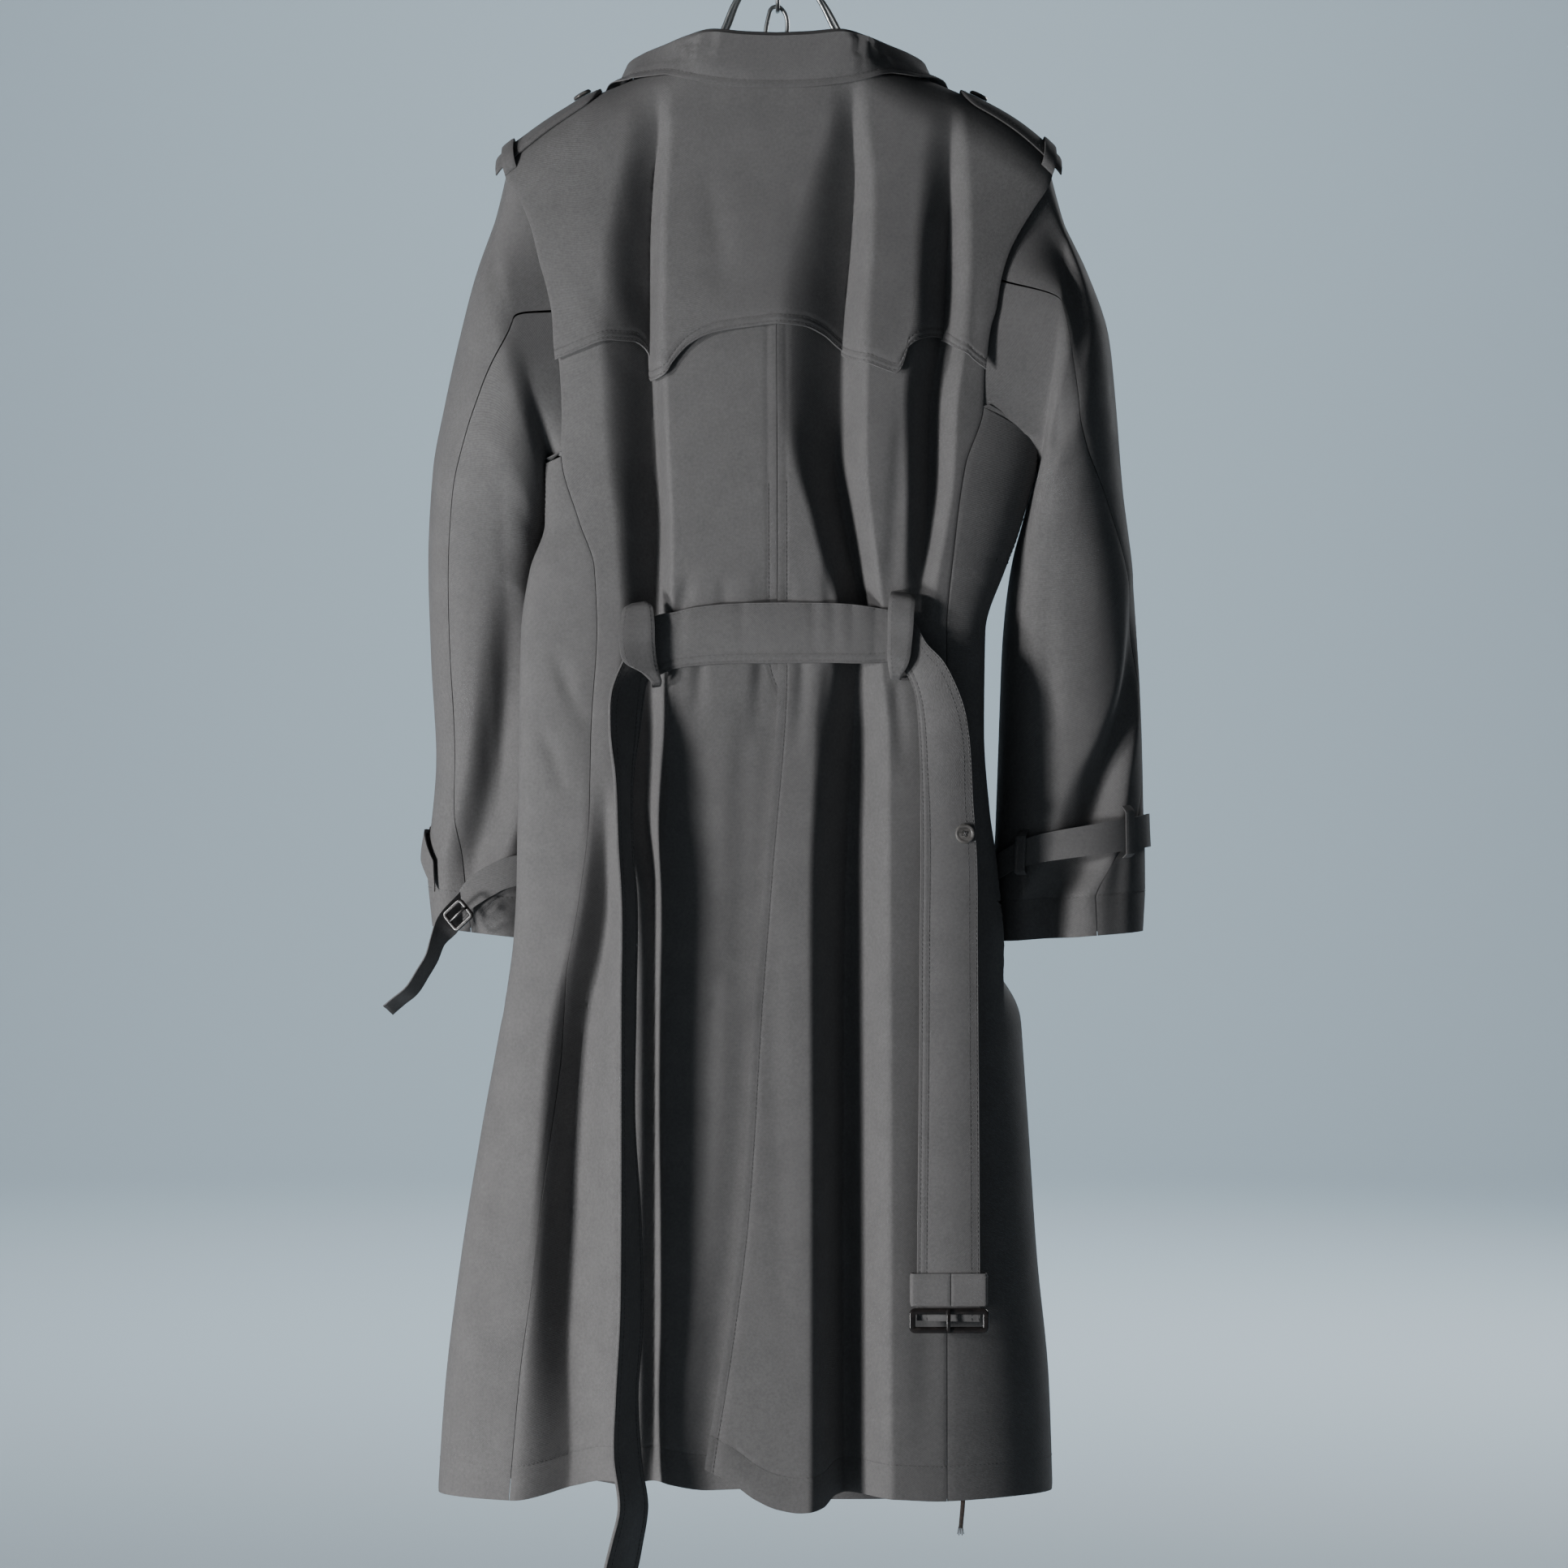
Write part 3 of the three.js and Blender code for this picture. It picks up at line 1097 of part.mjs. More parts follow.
// The hanger: steel wire in a hook, a pair of strands under each shoulder, and a short chain.
function tube(points, radius, segments, closed = false) {
  const curve = new THREE.CatmullRomCurve3(points.map((p) => new THREE.Vector3(...p)), closed);
  const sides = 7;
  const frames = curve.computeFrenetFrames(segments, closed);
  const rings = closed ? segments : segments + 1;
  const positions = [];
  for (let k = 0; k < rings; k += 1) {
    const middle = curve.getPointAt(k / segments);
    for (let n = 0; n < sides; n += 1) {
      const turn = (n / sides) * TAU;
      const point = middle
        .clone()
        .addScaledVector(frames.normals[k], radius * Math.cos(turn))
        .addScaledVector(frames.binormals[k], radius * Math.sin(turn));
      positions.push(point.x, point.y, point.z);
    }
  }
  const index = [];
  const at = (k, n) => (k % rings) * sides + (n % sides);
  for (let k = 0; k < (closed ? rings : rings - 1); k += 1)
    for (let n = 0; n < sides; n += 1) {
      index.push(at(k, n), at(k, n + 1), at(k + 1, n + 1));
      index.push(at(k, n), at(k + 1, n + 1), at(k + 1, n));
    }
  if (!closed)
    for (let n = 1; n < sides - 1; n += 1) {
      index.push(at(0, 0), at(0, n + 1), at(0, n));
      index.push(at(rings - 1, 0), at(rings - 1, n), at(rings - 1, n + 1));
    }
  const geometry = new THREE.BufferGeometry();
  geometry.setAttribute("position", new THREE.Float32BufferAttribute(positions, 3));
  geometry.setIndex(index);
  return geometry;
}
const hookMiddle = HOOK_RADIUS + WIRE_RADIUS;
const hook = [[0, 0, -49.7], [0, 0, -46], [2, 0, -41.5]];
for (let turn = -50; turn <= 215; turn += 24) {
  const a = degrees(turn);
  hook.push([hookMiddle * Math.cos(a), 0, -HOOK_RADIUS + hookMiddle * Math.sin(a)]);
}
add("hanger_hook", tube(hook, WIRE_RADIUS, 24), MATERIALS.steel);
const ferrule = new THREE.CylinderGeometry(5.6, 5.6, 12, 16);
ferrule.rotateX(Math.PI / 2);
ferrule.translate(0, 0, -56);
add("hanger_ferrule", ferrule, MATERIALS.steel);
const STRANDS = {
  left: [
    [-3.4, -4.5, -63.4], [-12, -4.8, -74], [-31, -6, -96.5], [-40.5, -8, -120], [-60, -9, -152],
    [-99, -8, -181], [-141, -8, -201], [-189, -7, -218], [-206, -6, -229], [-212, 0, -232],
    [-208, 6, -229], [-192, 7, -218], [-143, 7, -201], [-101, 7, -181], [-64, 9, -152],
    [-45.7, 8, -120], [-35, 6, -96.5], [-14, 4.8, -74], [-4, 4.5, -63.4],
  ],
  right: [
    [3.4, -4.5, -63.4], [13, -4.8, -74], [33, -6, -96.5], [45.5, -8, -121], [62, -9, -152],
    [99, -8, -181], [141, -8, -201], [189, -7, -215], [206, -6, -224], [212, 0, -229],
    [208, 6, -224], [192, 7, -215], [143, 7, -201], [101, 7, -181], [67, 9, -152],
    [51.5, 8, -121], [37, 6, -96.5], [15, 4.8, -74], [4, 4.5, -63.4],
  ],
};
for (const side of ["left", "right"])
  add("hanger_wire_" + side, tube(STRANDS[side], WIRE_RADIUS, 34), MATERIALS.steel);

// Links of the chain, each a ring of wire drawn out along Z, turned square to the one above.
function link(x, top, bottom, half, radius, across) {
  const points = [];
  for (let k = 0; k < 12; k += 1) {
    const a = (k / 12) * TAU;
    const side = half * Math.cos(a);
    const middle = Math.sin(a) > 0 ? top - half : bottom + half;
    const z = middle + half * Math.sin(a);
    points.push(across === "x" ? [x + side, 0, z] : [x, side, z]);
  }
  return tube(points, radius, 20, true);
}
add("hanger_eye", link(0, -63.8, -72.8, 4.4, 1.5, "x"), MATERIALS.steel);
add("chain_link_1", link(0, -69.3, -106.2, 6, 1.75, "y"), MATERIALS.steel);
add("chain_link_2", link(-1, -102, -142, 6, 1.75, "x"), MATERIALS.steel);

export default coat;
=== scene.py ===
"""A long belted trench coat on a wire hanger, seen from the back.

Forms are worked out in millimetres in the frame of the CAD model and given to Blender in metres.
Every cloth piece is a thin closed wall over one of three forms: the body's rings, a sleeve's
sections, or a strap's pairs of edges.
"""

import math

import bpy
import numpy as np
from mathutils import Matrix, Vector


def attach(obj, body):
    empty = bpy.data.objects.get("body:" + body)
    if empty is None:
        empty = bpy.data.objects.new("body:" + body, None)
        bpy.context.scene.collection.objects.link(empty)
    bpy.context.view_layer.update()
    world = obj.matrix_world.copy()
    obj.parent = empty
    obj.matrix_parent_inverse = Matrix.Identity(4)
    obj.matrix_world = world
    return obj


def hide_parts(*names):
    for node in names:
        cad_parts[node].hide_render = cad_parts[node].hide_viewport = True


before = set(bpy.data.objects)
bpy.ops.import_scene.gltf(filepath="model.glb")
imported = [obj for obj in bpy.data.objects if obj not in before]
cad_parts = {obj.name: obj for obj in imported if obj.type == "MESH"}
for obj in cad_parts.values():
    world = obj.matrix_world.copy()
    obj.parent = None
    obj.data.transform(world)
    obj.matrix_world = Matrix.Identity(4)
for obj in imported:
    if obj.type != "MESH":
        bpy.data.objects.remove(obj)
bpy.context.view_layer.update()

MM = 0.001
TAU = 2 * math.pi

# Driving sizes in millimetres
CLOTH = 1.6
STRAP = 2.4
SEAM_SET = 0.25
LIE_GAP = 0.5
LAP_DROP = CLOTH + LIE_GAP
SHOULDER_ROUND = 46
NECK_HEIGHT = -168
BUTTON_RADIUS = 12
SMALL_BUTTON_RADIUS = 8
WIRE_RADIUS = 1.9
HOOK_RADIUS = 18
FRONT_OVERLAP = 85
STITCH_LENGTH = 2.7
STITCH_STEP = 3.7
STITCH_RADIUS = 0.36
SHARP_ANGLE = math.radians(52)

CAMERA_PLACE = (0.00524, -3.275, -0.7441)
CAMERA_LENS = 91.03


class Curve:
    """Rows under named columns, read as a smooth curve by the first column."""

    def __init__(self, columns, rows):
        table = np.array(sorted(rows, key=lambda row: row[0]), float)
        rise = np.diff(table, axis=0) / np.diff(table[:, 0])[:, None]
        before = rise[:-1]
        after = rise[1:]
        same = before * after > 0
        inner = np.where(same, 2 * before * after / np.where(same, before + after, 1), 0)
        self.columns = columns
        self.table = table
        self.slopes = np.vstack([rise[:1], inner, rise[-1:]])

    def __call__(self, at):
        keys = self.table[:, 0]
        at = np.clip(np.asarray(at, float), keys[0], keys[-1])
        i = np.clip(np.searchsorted(keys, at, side="left") - 1, 0, len(keys) - 2)
        span = (keys[i + 1] - keys[i])[..., None]
        t = (at - keys[i])[..., None] / span
        out = self.table[i] * (1 + 2 * t) * (1 - t) ** 2
        out = out + self.table[i + 1] * t * t * (3 - 2 * t)
        out = out + self.slopes[i] * span * t * (1 - t) ** 2
        out = out - self.slopes[i + 1] * span * t * t * (1 - t)
        return {name: out[..., k] for k, name in enumerate(self.columns)}


def line(rows):
    """The second column of two, as a function of the first."""
    curve = Curve(["key", "value"], rows)
    return lambda at: curve(at)["value"]


def mix(a, b, t):
    return a + (b - a) * t


def clamp01(t):
    return np.clip(t, 0, 1)


def smooth_step(t):
    t = clamp01(t)
    return t * t * (3 - 2 * t)


def power(v, p):
    return np.sign(v) * np.abs(v) ** p


def stack(x, y, z):
    """Points from coordinates that may be arrays of different shapes."""
    return np.stack(np.broadcast_arrays(np.asarray(x, float), y, z), axis=-1)


def unit(v):
    return v / np.maximum(np.linalg.norm(v, axis=-1, keepdims=True), 1e-9)


# Body rings: the left and right ends of each level with their depths, the back's and front's depth,
# and how square the ring is. 2 is an ellipse.
RING_COLUMNS = ["z", "left", "right", "leftY", "rightY", "back", "front", "square"]
ring_at = Curve(RING_COLUMNS, [
    [-60, -270, 270, -6, -6, -46, 36, 2.4],
    [-255, -270, 268, -6, -6, -58, 50, 2.4],
    [-310, -252, 256, -6, -6, -66, 56, 2.4],
    [-375, -226, 240, -8, -4, -72, 60, 2.5],
    [-440, -204, 230, -12, 0, -75, 62, 2.6],
    [-480, -196, 222, -20, 0, -77, 64, 2.7],
    [-531, -190, 203, -34, -10, -78, 64, 3.0],
    [-570, -202, 186, -40, -20, -78, 62, 3.2],
    [-620, -209, 170, -42, -26, -75, 60, 3.4],
    [-700, -211, 169, -42, -26, -76, 62, 3.2],
    [-766, -212, 174, -40, -18, -80, 64, 3.0],
    [-820, -213, 184, -36, -2, -82, 66, 2.8],
    [-871, -216, 198, -30, 14, -84, 68, 2.6],
    [-924, -224, 201, -24, 20, -86, 70, 2.5],
    [-1028, -243, 208, -20, 20, -88, 73, 2.5],
    [-1133, -260, 215, -18, 20, -90, 75, 2.5],
    [-1238, -273, 225, -16, 20, -91, 76, 2.5],
    [-1360, -281, 229, -16, 20, -92, 77, 2.5],
])

# Folds that run down the cloth. A depth over 0 is a valley and under 0 a ridge; the spreads are how
# far each flank reaches to the left and right of the fold's line.
FOLD_COLUMNS = ["z", "x", "depth", "spreadLeft", "spreadRight"]
BACK_FOLDS = [
    # left shoulder blade, down to the belt and on beside the belt's long end
    Curve(FOLD_COLUMNS, [
        [-176, -98, 0, 24, 12],
        [-212, -98, 8, 26, 13],
        [-250, -102, 18, 30, 14],
        [-308, -106, 26, 36, 16],
        [-375, -107, 30, 38, 17],
        [-478, -104, 31, 36, 17],
        [-540, -100, 29, 32, 16],
        [-600, -100, 24, 28, 16],
        [-648, -103, 18, 26, 18],
        [-701, -106, 24, 24, 20],
        [-766, -108, 22, 22, 18],
        [-830, -102, 14, 12, 12],
        [-900, -101, 11, 11, 11],
        [-1238, -101, 10, 11, 12],
        [-1330, -101, 7, 12, 14],
    ]),
    # right of the middle, the deepest one, all the way to the hem
    Curve(FOLD_COLUMNS, [
        [-168, 60, 0, 18, 12],
        [-210, 61, 9, 22, 14],
        [-250, 63, 18, 38, 16],
        [-308, 60, 26, 52, 18],
        [-375, 54, 30, 56, 20],
        [-439, 51, 32, 50, 22],
        [-478, 47, 34, 38, 26],
        [-531, 55, 33, 30, 22],
        [-570, 63, 30, 28, 19],
        [-610, 70, 24, 26, 16],
        [-648, 65, 25, 28, 20],
        [-701, 63, 34, 34, 28],
        [-819, 58, 40, 34, 34],
        [-1028, 57, 44, 32, 36],
        [-1238, 57, 46, 32, 36],
        [-1340, 57, 44, 32, 38],
    ]),
    # right shoulder blade, fading above the belt
    Curve(FOLD_COLUMNS, [
        [-190, 140, 0, 18, 12],
        [-250, 141, 12, 26, 15],
        [-308, 140, 21, 30, 17],
        [-373, 137, 24, 30, 18],
        [-439, 128, 25, 28, 18],
        [-500, 126, 22, 24, 17],
        [-540, 122, 17, 20, 15],
        [-580, 117, 8, 16, 13],
        [-620, 114, 0, 14, 12],
    ]),
    # left skirt, slanting out to the hem
    Curve(FOLD_COLUMNS, [
        [-740, -140, 0, 16, 12],
        [-790, -140, 9, 16, 14],
        [-830, -141, 17, 20, 18],
        [-871, -147, 23, 22, 24],
        [-924, -162, 28, 21, 38],
        [-976, -170, 31, 20, 44],
        [-1081, -175, 32, 22, 50],
        [-1186, -176, 29, 27, 50],
        [-1290, -172, 24, 38, 52],
        [-1340, -172, 21, 42, 52],
    ]),
]
FRONT_FOLDS = [
    Curve(FOLD_COLUMNS, [
        [-260, -128, 0, 20, 20],
        [-340, -132, 12, 30, 22],
        [-480, -128, 18, 34, 24],
        [-620, -124, 14, 30, 24],
        [-800, -128, 18, 32, 28],
        [-1340, -136, 30, 44, 36],
    ]),
    Curve(FOLD_COLUMNS, [
        [-420, 122, 0, 20, 24],
        [-560, 118, 13, 24, 30],
        [-700, 114, 12, 24, 28],
        [-900, 122, 20, 30, 34],
        [-1340, 138, 30, 38, 44],
    ]),
]

# Small creases, listed as lines of x, z, depth and width. A depth over 0 is a trough.
BACK_CREASES = [
    # dent along the middle seam below the belt
    [(-22, -650, 0, 9), (-27, -720, 2.6, 10), (-34, -860, 2.0, 11), (-40, -960, 0, 10)],
    # upright crease on the right of the upper back
    [(101, -420, 0, 6), (99, -470, 1.6, 7), (93, -560, 1.6, 7), (90, -600, 0, 6)],
    # puckers over the belt
    [(38, -560, 0, 5), (41, -585, 2.0, 5), (43, -602, 2.6, 5)],
    [(54, -566, 0, 4), (57, -588, 1.6, 4), (58, -602, 2.0, 4)],
    [(-70, -570, 0, 6), (-74, -590, 2.2, 6), (-78, -606, 2.6, 6)],
    [(-40, -575, 0, 6), (-43, -592, 1.4, 6), (-44, -602, 1.6, 6)],
    [(8, -572, 0, 5), (9, -590, 1.2, 5), (9, -600, 1.4, 5)],
    # gathers under the belt
    [(-62, -648, 2.4, 5), (-64, -668, 1.8, 6), (-66, -700, 0, 7)],
    [(-14, -648, 1.8, 5), (-16, -676, 1.6, 6), (-18, -716, 0, 7)],
    [(20, -648, 2.2, 5), (19, -676, 1.8, 6), (14, -730, 0, 8)],
    [(40, -650, 2.0, 5), (36, -684, 1.4, 6), (30, -740, 0, 8)],
    [(96, -668, 1.6, 5), (99, -700, 1.4, 6), (101, -740, 0, 7)],
    [(-120, -650, 1.8, 5), (-124, -690, 1.6, 6), (-129, -740, 0, 8)],
    [(-150, -640, 0, 7), (-152, -690, 1.8, 8), (-150, -750, 0, 8)],
    # slack across the shoulder blades
    [(-150, -330, 0, 9), (-138, -372, 2.2, 10), (-126, -420, 0, 9)],
    [(-60, -230, 0, 10), (-48, -300, 1.6, 12), (-44, -360, 0, 10)],
    [(20, -240, 0, 10), (14, -300, 1.2, 12), (10, -360, 0, 10)],
    [(160, -330, 0, 8), (156, -372, 1.8, 9), (150, -420, 0, 8)],
    # long shallow ones in the skirt
    [(-70, -760, 0, 9), (-72, -900, 1.4, 11), (-76, -1060, 1.4, 12), (-80, -1250, 0, 12)],
    [(-10, -780, 0, 9), (-6, -900, 1.2, 11), (2, -1080, 1.2, 12), (4, -1240, 0, 12)],
    [(118, -980, 0, 10), (122, -1100, 1.6, 12), (120, -1220, 1.2, 12), (116, -1300, 0, 10)],
    [(-208, -900, 0, 10), (-222, -1010, 2.0, 12), (-232, -1140, 1.6, 12), (-240, -1280, 0, 12)],
    # short slanting ones beside the waist and where the skirt was folded
    [(-186, -628, 0, 6), (-170, -665, 2.4, 7), (-154, -706, 0, 6)],
    [(-196, -690, 0, 6), (-182, -722, 1.8, 7), (-170, -762, 0, 7)],
    [(-60, -908, 0, 5), (-42, -892, 1.2, 6), (-20, -898, 0, 5)],
    [(-66, -934, 0, 5), (-50, -920, 1.2, 6), (-34, -922, 0, 5)],
    [(-32, -942, 0, 6), (-12, -926, 1.1, 7), (8, -930, 0, 6)],
    [(120, -905, 0, 5), (124, -935, 1.0, 6), (126, -970, 0, 6)],
]
BELT_CREASES = [
    [(-94, -606, 1.2, 3), (-86, -616, 1.2, 4), (-76, -628, 0, 4)],
    [(-80, -604, 1.0, 3), (-72, -614, 0.8, 4), (-66, -622, 0, 4)],
    [(-30, -598, 0.8, 4), (-27, -612, 0.6, 4), (-25, -630, 0, 4)],
    [(28, -598, 1.0, 3), (31, -610, 1.0, 4), (36, -628, 0, 4)],
    [(44, -598, 1.1, 3), (48, -616, 1.1, 4), (46, -640, 0, 4)],
    [(60, -600, 1.0, 3), (63, -616, 1.2, 4), (70, -636, 0.6, 4)],
    [(80, -602, 1.2, 3), (76, -618, 1.0, 4), (78, -640, 0.8, 4)],
    # the long end on the right, where it was knotted
    [(143, -768, 0, 3), (135, -785, 1.6, 4), (136, -802, 1.8, 4), (133, -816, 1.4, 4), (127, -838, 0, 4)],
    [(128, -720, 0, 5), (134, -752, 1.2, 6), (140, -780, 0, 5)],
    [(146, -840, 0, 5), (140, -880, 1.0, 6), (144, -930, 0, 6)],
]
FRONT_CREASES = [
    [(-52, -620, 0, 8), (-50, -690, 2.0, 9), (-46, -800, 0, 10)],
    [(60, -600, 0, 8), (64, -700, 2.2, 10), (68, -840, 0, 12)],
    [(-96, -700, 0, 9), (-100, -880, 1.8, 12), (-104, -1100, 0, 14)],
    [(20, -760, 0, 9), (24, -940, 1.8, 12), (26, -1160, 0, 14)],
    [(-20, -480, 0, 9), (-16, -560, 1.6, 10), (-12, -640, 0, 9)],
]


def bump(u):
    return np.where(np.abs(u) < 1, (1 - np.minimum(u * u, 1)) ** 2, 0)


def flank(u):
    """A fold's flank that goes on falling as far as the bottom, as a hanging fold's shaded side does."""
    near = 1 - np.minimum(np.abs(u), 1)
    return mix(bump(u), near * near, 0.5)


def crease_depth(creases, x, z):
    """The depth of the given creases at x and z: each is as deep as its nearest stretch says."""
    total = np.zeros(np.broadcast(x, z).shape)
    for crease in creases:
        nearest = np.full(total.shape, 1e9)
        depth = np.zeros(total.shape)
        for (x1, z1, d1, w1), (x2, z2, d2, w2) in zip(crease, crease[1:]):
            t = ((x - x1) * (x2 - x1) + (z - z1) * (z2 - z1)) / ((x2 - x1) ** 2 + (z2 - z1) ** 2)
            t = clamp01(t)
            away = np.hypot(x - mix(x1, x2, t), z - mix(z1, z2, t)) / mix(w1, w2, t)
            closer = away < nearest
            nearest = np.where(closer, away, nearest)
            depth = np.where(closer, mix(d1, d2, t), depth)
        total += depth * np.exp(-nearest * nearest)
    return total


def fold_depth(folds, x, z):
    total = 0
    for fold_at in folds:
        f = fold_at(z)
        away = x - f["x"]
        left = flank(away / f["spreadLeft"])
        total = total + f["depth"] * np.where(away < 0, left, bump(away / f["spreadRight"]))
    return total


# The top of the shoulders, seen from the back. It goes on rising inside the neck, where nothing is cut.
shoulder_line = line([
    [-270, -292], [-240, -252], [-232, -241], [-223, -229], [-205, -215], [-189, -203.5],
    [-171, -192], [-153, -181.5], [-141, -176.5], [-120, -168], [-100, -157], [0, -90],
    [100, -155], [120, -166], [146, -177], [161, -184], [175, -191], [192, -201], [207, -212],
    [221, -224.5], [230, -234.5], [240, -252], [270, -292],
])


def shoulder_share(x, z):
    """How much of its depth the body has under the round of the shoulders: 0 at the top line."""
    below = clamp01((shoulder_line(x) - z) / SHOULDER_ROUND)
    return np.sqrt(np.maximum(0, 1 - (1 - below) ** 2))


# Sleeve sections: the outer and inner point of each, its middle's depth and its half depth.
SLEEVE_COLUMNS = ["step", "outX", "outZ", "inX", "inZ", "midY", "halfY"]
SLEEVES = {
    "left": [
        [1, -234, -283, -184, -492, 0, 62],
        [2, -249, -325, -186, -516, 2, 69],
        [3, -263, -378, -190, -535, 5, 70],
        [4, -275, -430, -193, -554, 9, 67],
        [5, -286, -487, -193, -580, 14, 62],
        [6, -290, -560, -190, -622, 19, 57],
        [7, -288, -640, -188, -676, 23, 54],
        [8, -284, -720, -186, -738, 26, 51],
        [9, -288, -775, -182, -786, 27, 49],
        [10, -292, -806, -180, -816, 27, 48],
        [11, -290, -838, -180, -850, 26, 47],
        [12, -287, -868, -182, -880, 25, 46],
    ],
    "right": [
        [1, 238, -287, 214, -492, -2, 62],
        [2, 256, -325, 207, -514, -2, 68],
        [3, 273, -376, 201, -534, -1, 68],
        [4, 279, -430, 195, -556, 1, 65],
        [5, 285, -500, 190, -586, 5, 60],
        [6, 294, -570, 186, -630, 9, 56],
        [7, 299, -645, 184, -682, 12, 52],
        [8, 302, -720, 182, -740, 12, 49],
        [9, 303, -775, 180, -790, 10, 47],
        [10, 304, -806, 178, -818, 8, 46],
        [11, 304, -838, 177, -848, 6, 45],
        [12, 302, -872, 180, -880, 4, 44],
    ],
}
SLEEVE_SQUARE = 2.2
SIDES = {"left": -1, "right": 1}
sleeve_rows = {side: Curve(SLEEVE_COLUMNS, SLEEVES[side]) for side in SIDES}
ARMPIT = {"left": -478, "right": -439}


# The body makes room for the sleeves that hang beside it.
def sleeve_room(z):
    return 7 + 6 * smooth_step((-690 - z) / 60)


outer_slice = {side: Curve(["z", "x"], [[r[2], r[1]] for r in SLEEVES[side]]) for side in SIDES}
inner_slice = {
    side: Curve(["z", "x", "midY", "halfY"], [[r[4], r[3], r[5], r[6]] for r in SLEEVES[side]])
    for side in SIDES
}


SLEEVE_ROOM_END = -952
SLEEVE_ROOM_FADE = 72


def clear_of_sleeves(x, y, z):
    """The x of the body's points, moved in where a sleeve hangs beside them."""
    clear = x
    for side, sign in SIDES.items():
        top = ARMPIT[side] + 6
        fade = smooth_step((top - z) / 12 + 1.6) * smooth_step((z - SLEEVE_ROOM_END) / SLEEVE_ROOM_FADE) ** 2
        inner = inner_slice[side](z)
        outer = outer_slice[side](z)
        half = np.abs(outer["x"] - inner["x"]) / 2 + sleeve_room(z)
        dy = (y - inner["midY"]) / (inner["halfY"] + sleeve_room(z))
        beside = np.sqrt(np.maximum(0, 1 - dy * dy))
        limit = sign * (outer["x"] + inner["x"]) / 2 - half * beside
        over = (np.abs(dy) < 1) & (clear * sign > limit)
        clear = np.where(over, sign * mix(clear * sign, limit, fade), clear)
    return clear


def body_point(angle, z, lift, folded=True):
    """A point of the body's outer face. The angle is 0 at the right end, a quarter turn at the middle of
    the front and minus a quarter turn at the middle of the back."""
    r = ring_at(z)
    c = power(np.cos(angle), 2 / r["square"])
    s = power(np.sin(angle), 2 / r["square"])
    half = (r["right"] - r["left"]) / 2
    x = (r["right"] + r["left"]) / 2 + half * c
    end_y = mix(r["leftY"], r["rightY"], (c + 1) / 2)
    level = np.where(s < 0, r["back"], r["front"]) - end_y
    share = shoulder_share(x, z)
    y = end_y + level * np.abs(s) * share
    out_x = power(c, r["square"] - 1) / half
    out_y = power(s, r["square"] - 1) / np.abs(level)
    size = np.hypot(out_x, out_y)
    depth = 0
    if folded:
        back = fold_depth(BACK_FOLDS, x, z) + crease_depth(BACK_CREASES, x, z)
        front = fold_depth(FRONT_FOLDS, x, z) + crease_depth(FRONT_CREASES, x, z)
        depth = np.where(s < 0, back, front)
    move = lift - depth * share * smooth_step(np.abs(s) * 2)
    moved_y = y + out_y / size * move
    return stack(clear_of_sleeves(x + out_x / size * move, moved_y, z), moved_y, z)


def body_angle(x, z, side):
    """The angle at which the body's ring has this x, on its back or its front."""
    r = ring_at(z)
    c = (x - (r["right"] + r["left"]) / 2) / ((r["right"] - r["left"]) / 2)
    angle = np.arccos(power(np.clip(c, -1, 1), r["square"] / 2))
    return -angle if side == "back" else angle


def on_back(x, z, lift=0.0):
    return body_point(body_angle(x, z, "back"), z, lift)


def on_front(x, z, lift=0.0):
    return body_point(body_angle(x, z, "front"), z, lift)


# Cut lines of the back and fronts, as the x of each at a height.
SHOULDER_POINT = {"left": -230, "right": -229}
back_edge = {
    "left": line([
        [-230, -224], [-247, -222], [-268, -210], [-293, -200], [-321, -193], [-338, -188],
        [-362, -183], [-384, -181], [-401, -179], [-439, -177], [-478, -176], [-531, -161],
        [-570, -148], [-620, -146], [-701, -151], [-766, -152], [-835, -160], [-903, -172],
        [-994, -182], [-1084, -192], [-1152, -199], [-1219, -208], [-1320, -217],
    ]),
    "right": line([
        [-229, 225], [-245, 224], [-256, 221], [-275, 209], [-298, 195], [-315, 187], [-336, 181],
        [-359, 177], [-372, 173], [-388, 170], [-408, 168], [-439, 167], [-487, 152], [-553, 143],
        [-624, 137], [-1330, 137],
    ]),
}
front_armhole = {
    "left": line([
        [-230, -224], [-247, -221], [-285, -203], [-320, -190], [-373, -181], [-430, -180],
        [-476, -184],
    ]),
    "right": line([
        [-229, 225], [-247, 222], [-285, 206], [-320, 193], [-373, 184], [-430, 184], [-462, 190],
    ]),
}
middle_seam = line([
    [-160, -2], [-648, 0], [-819, -12], [-924, -20], [-1084, -30], [-1186, -42], [-1294, -59],
])

# Heights of the hem, by x on the back and on the front.
back_hem = {
    "left": line([
        [-281, -1316], [-241, -1320], [-216, -1323], [-169, -1313], [-140, -1306], [-103, -1305],
        [-58, -1312], [-30, -1311],
    ]),
    "right": line([
        [-60, -1294], [-35, -1307], [-18, -1319], [0, -1327], [18, -1330], [38, -1328],
        [50, -1321], [86, -1320], [137, -1323], [180, -1321], [205, -1315], [229, -1304],
    ]),
}
front_hem = line([
    [-281, -1318], [-200, -1326], [-140, -1330], [-100, -1332], [-40, -1337], [0, -1342],
    [40, -1347], [100, -1346], [180, -1335], [229, -1308],
])
# The collar's seam on the fronts and the line where the lapel rolls over.
NECK_FRONT_X = 62
NECK_FRONT_Z = -250
NECK_SIDE_X = 114
LAPEL_END = -430
neck_front = line([
    [NECK_FRONT_X, NECK_FRONT_Z], [88, -214], [104, -186], [NECK_SIDE_X, -171],
])

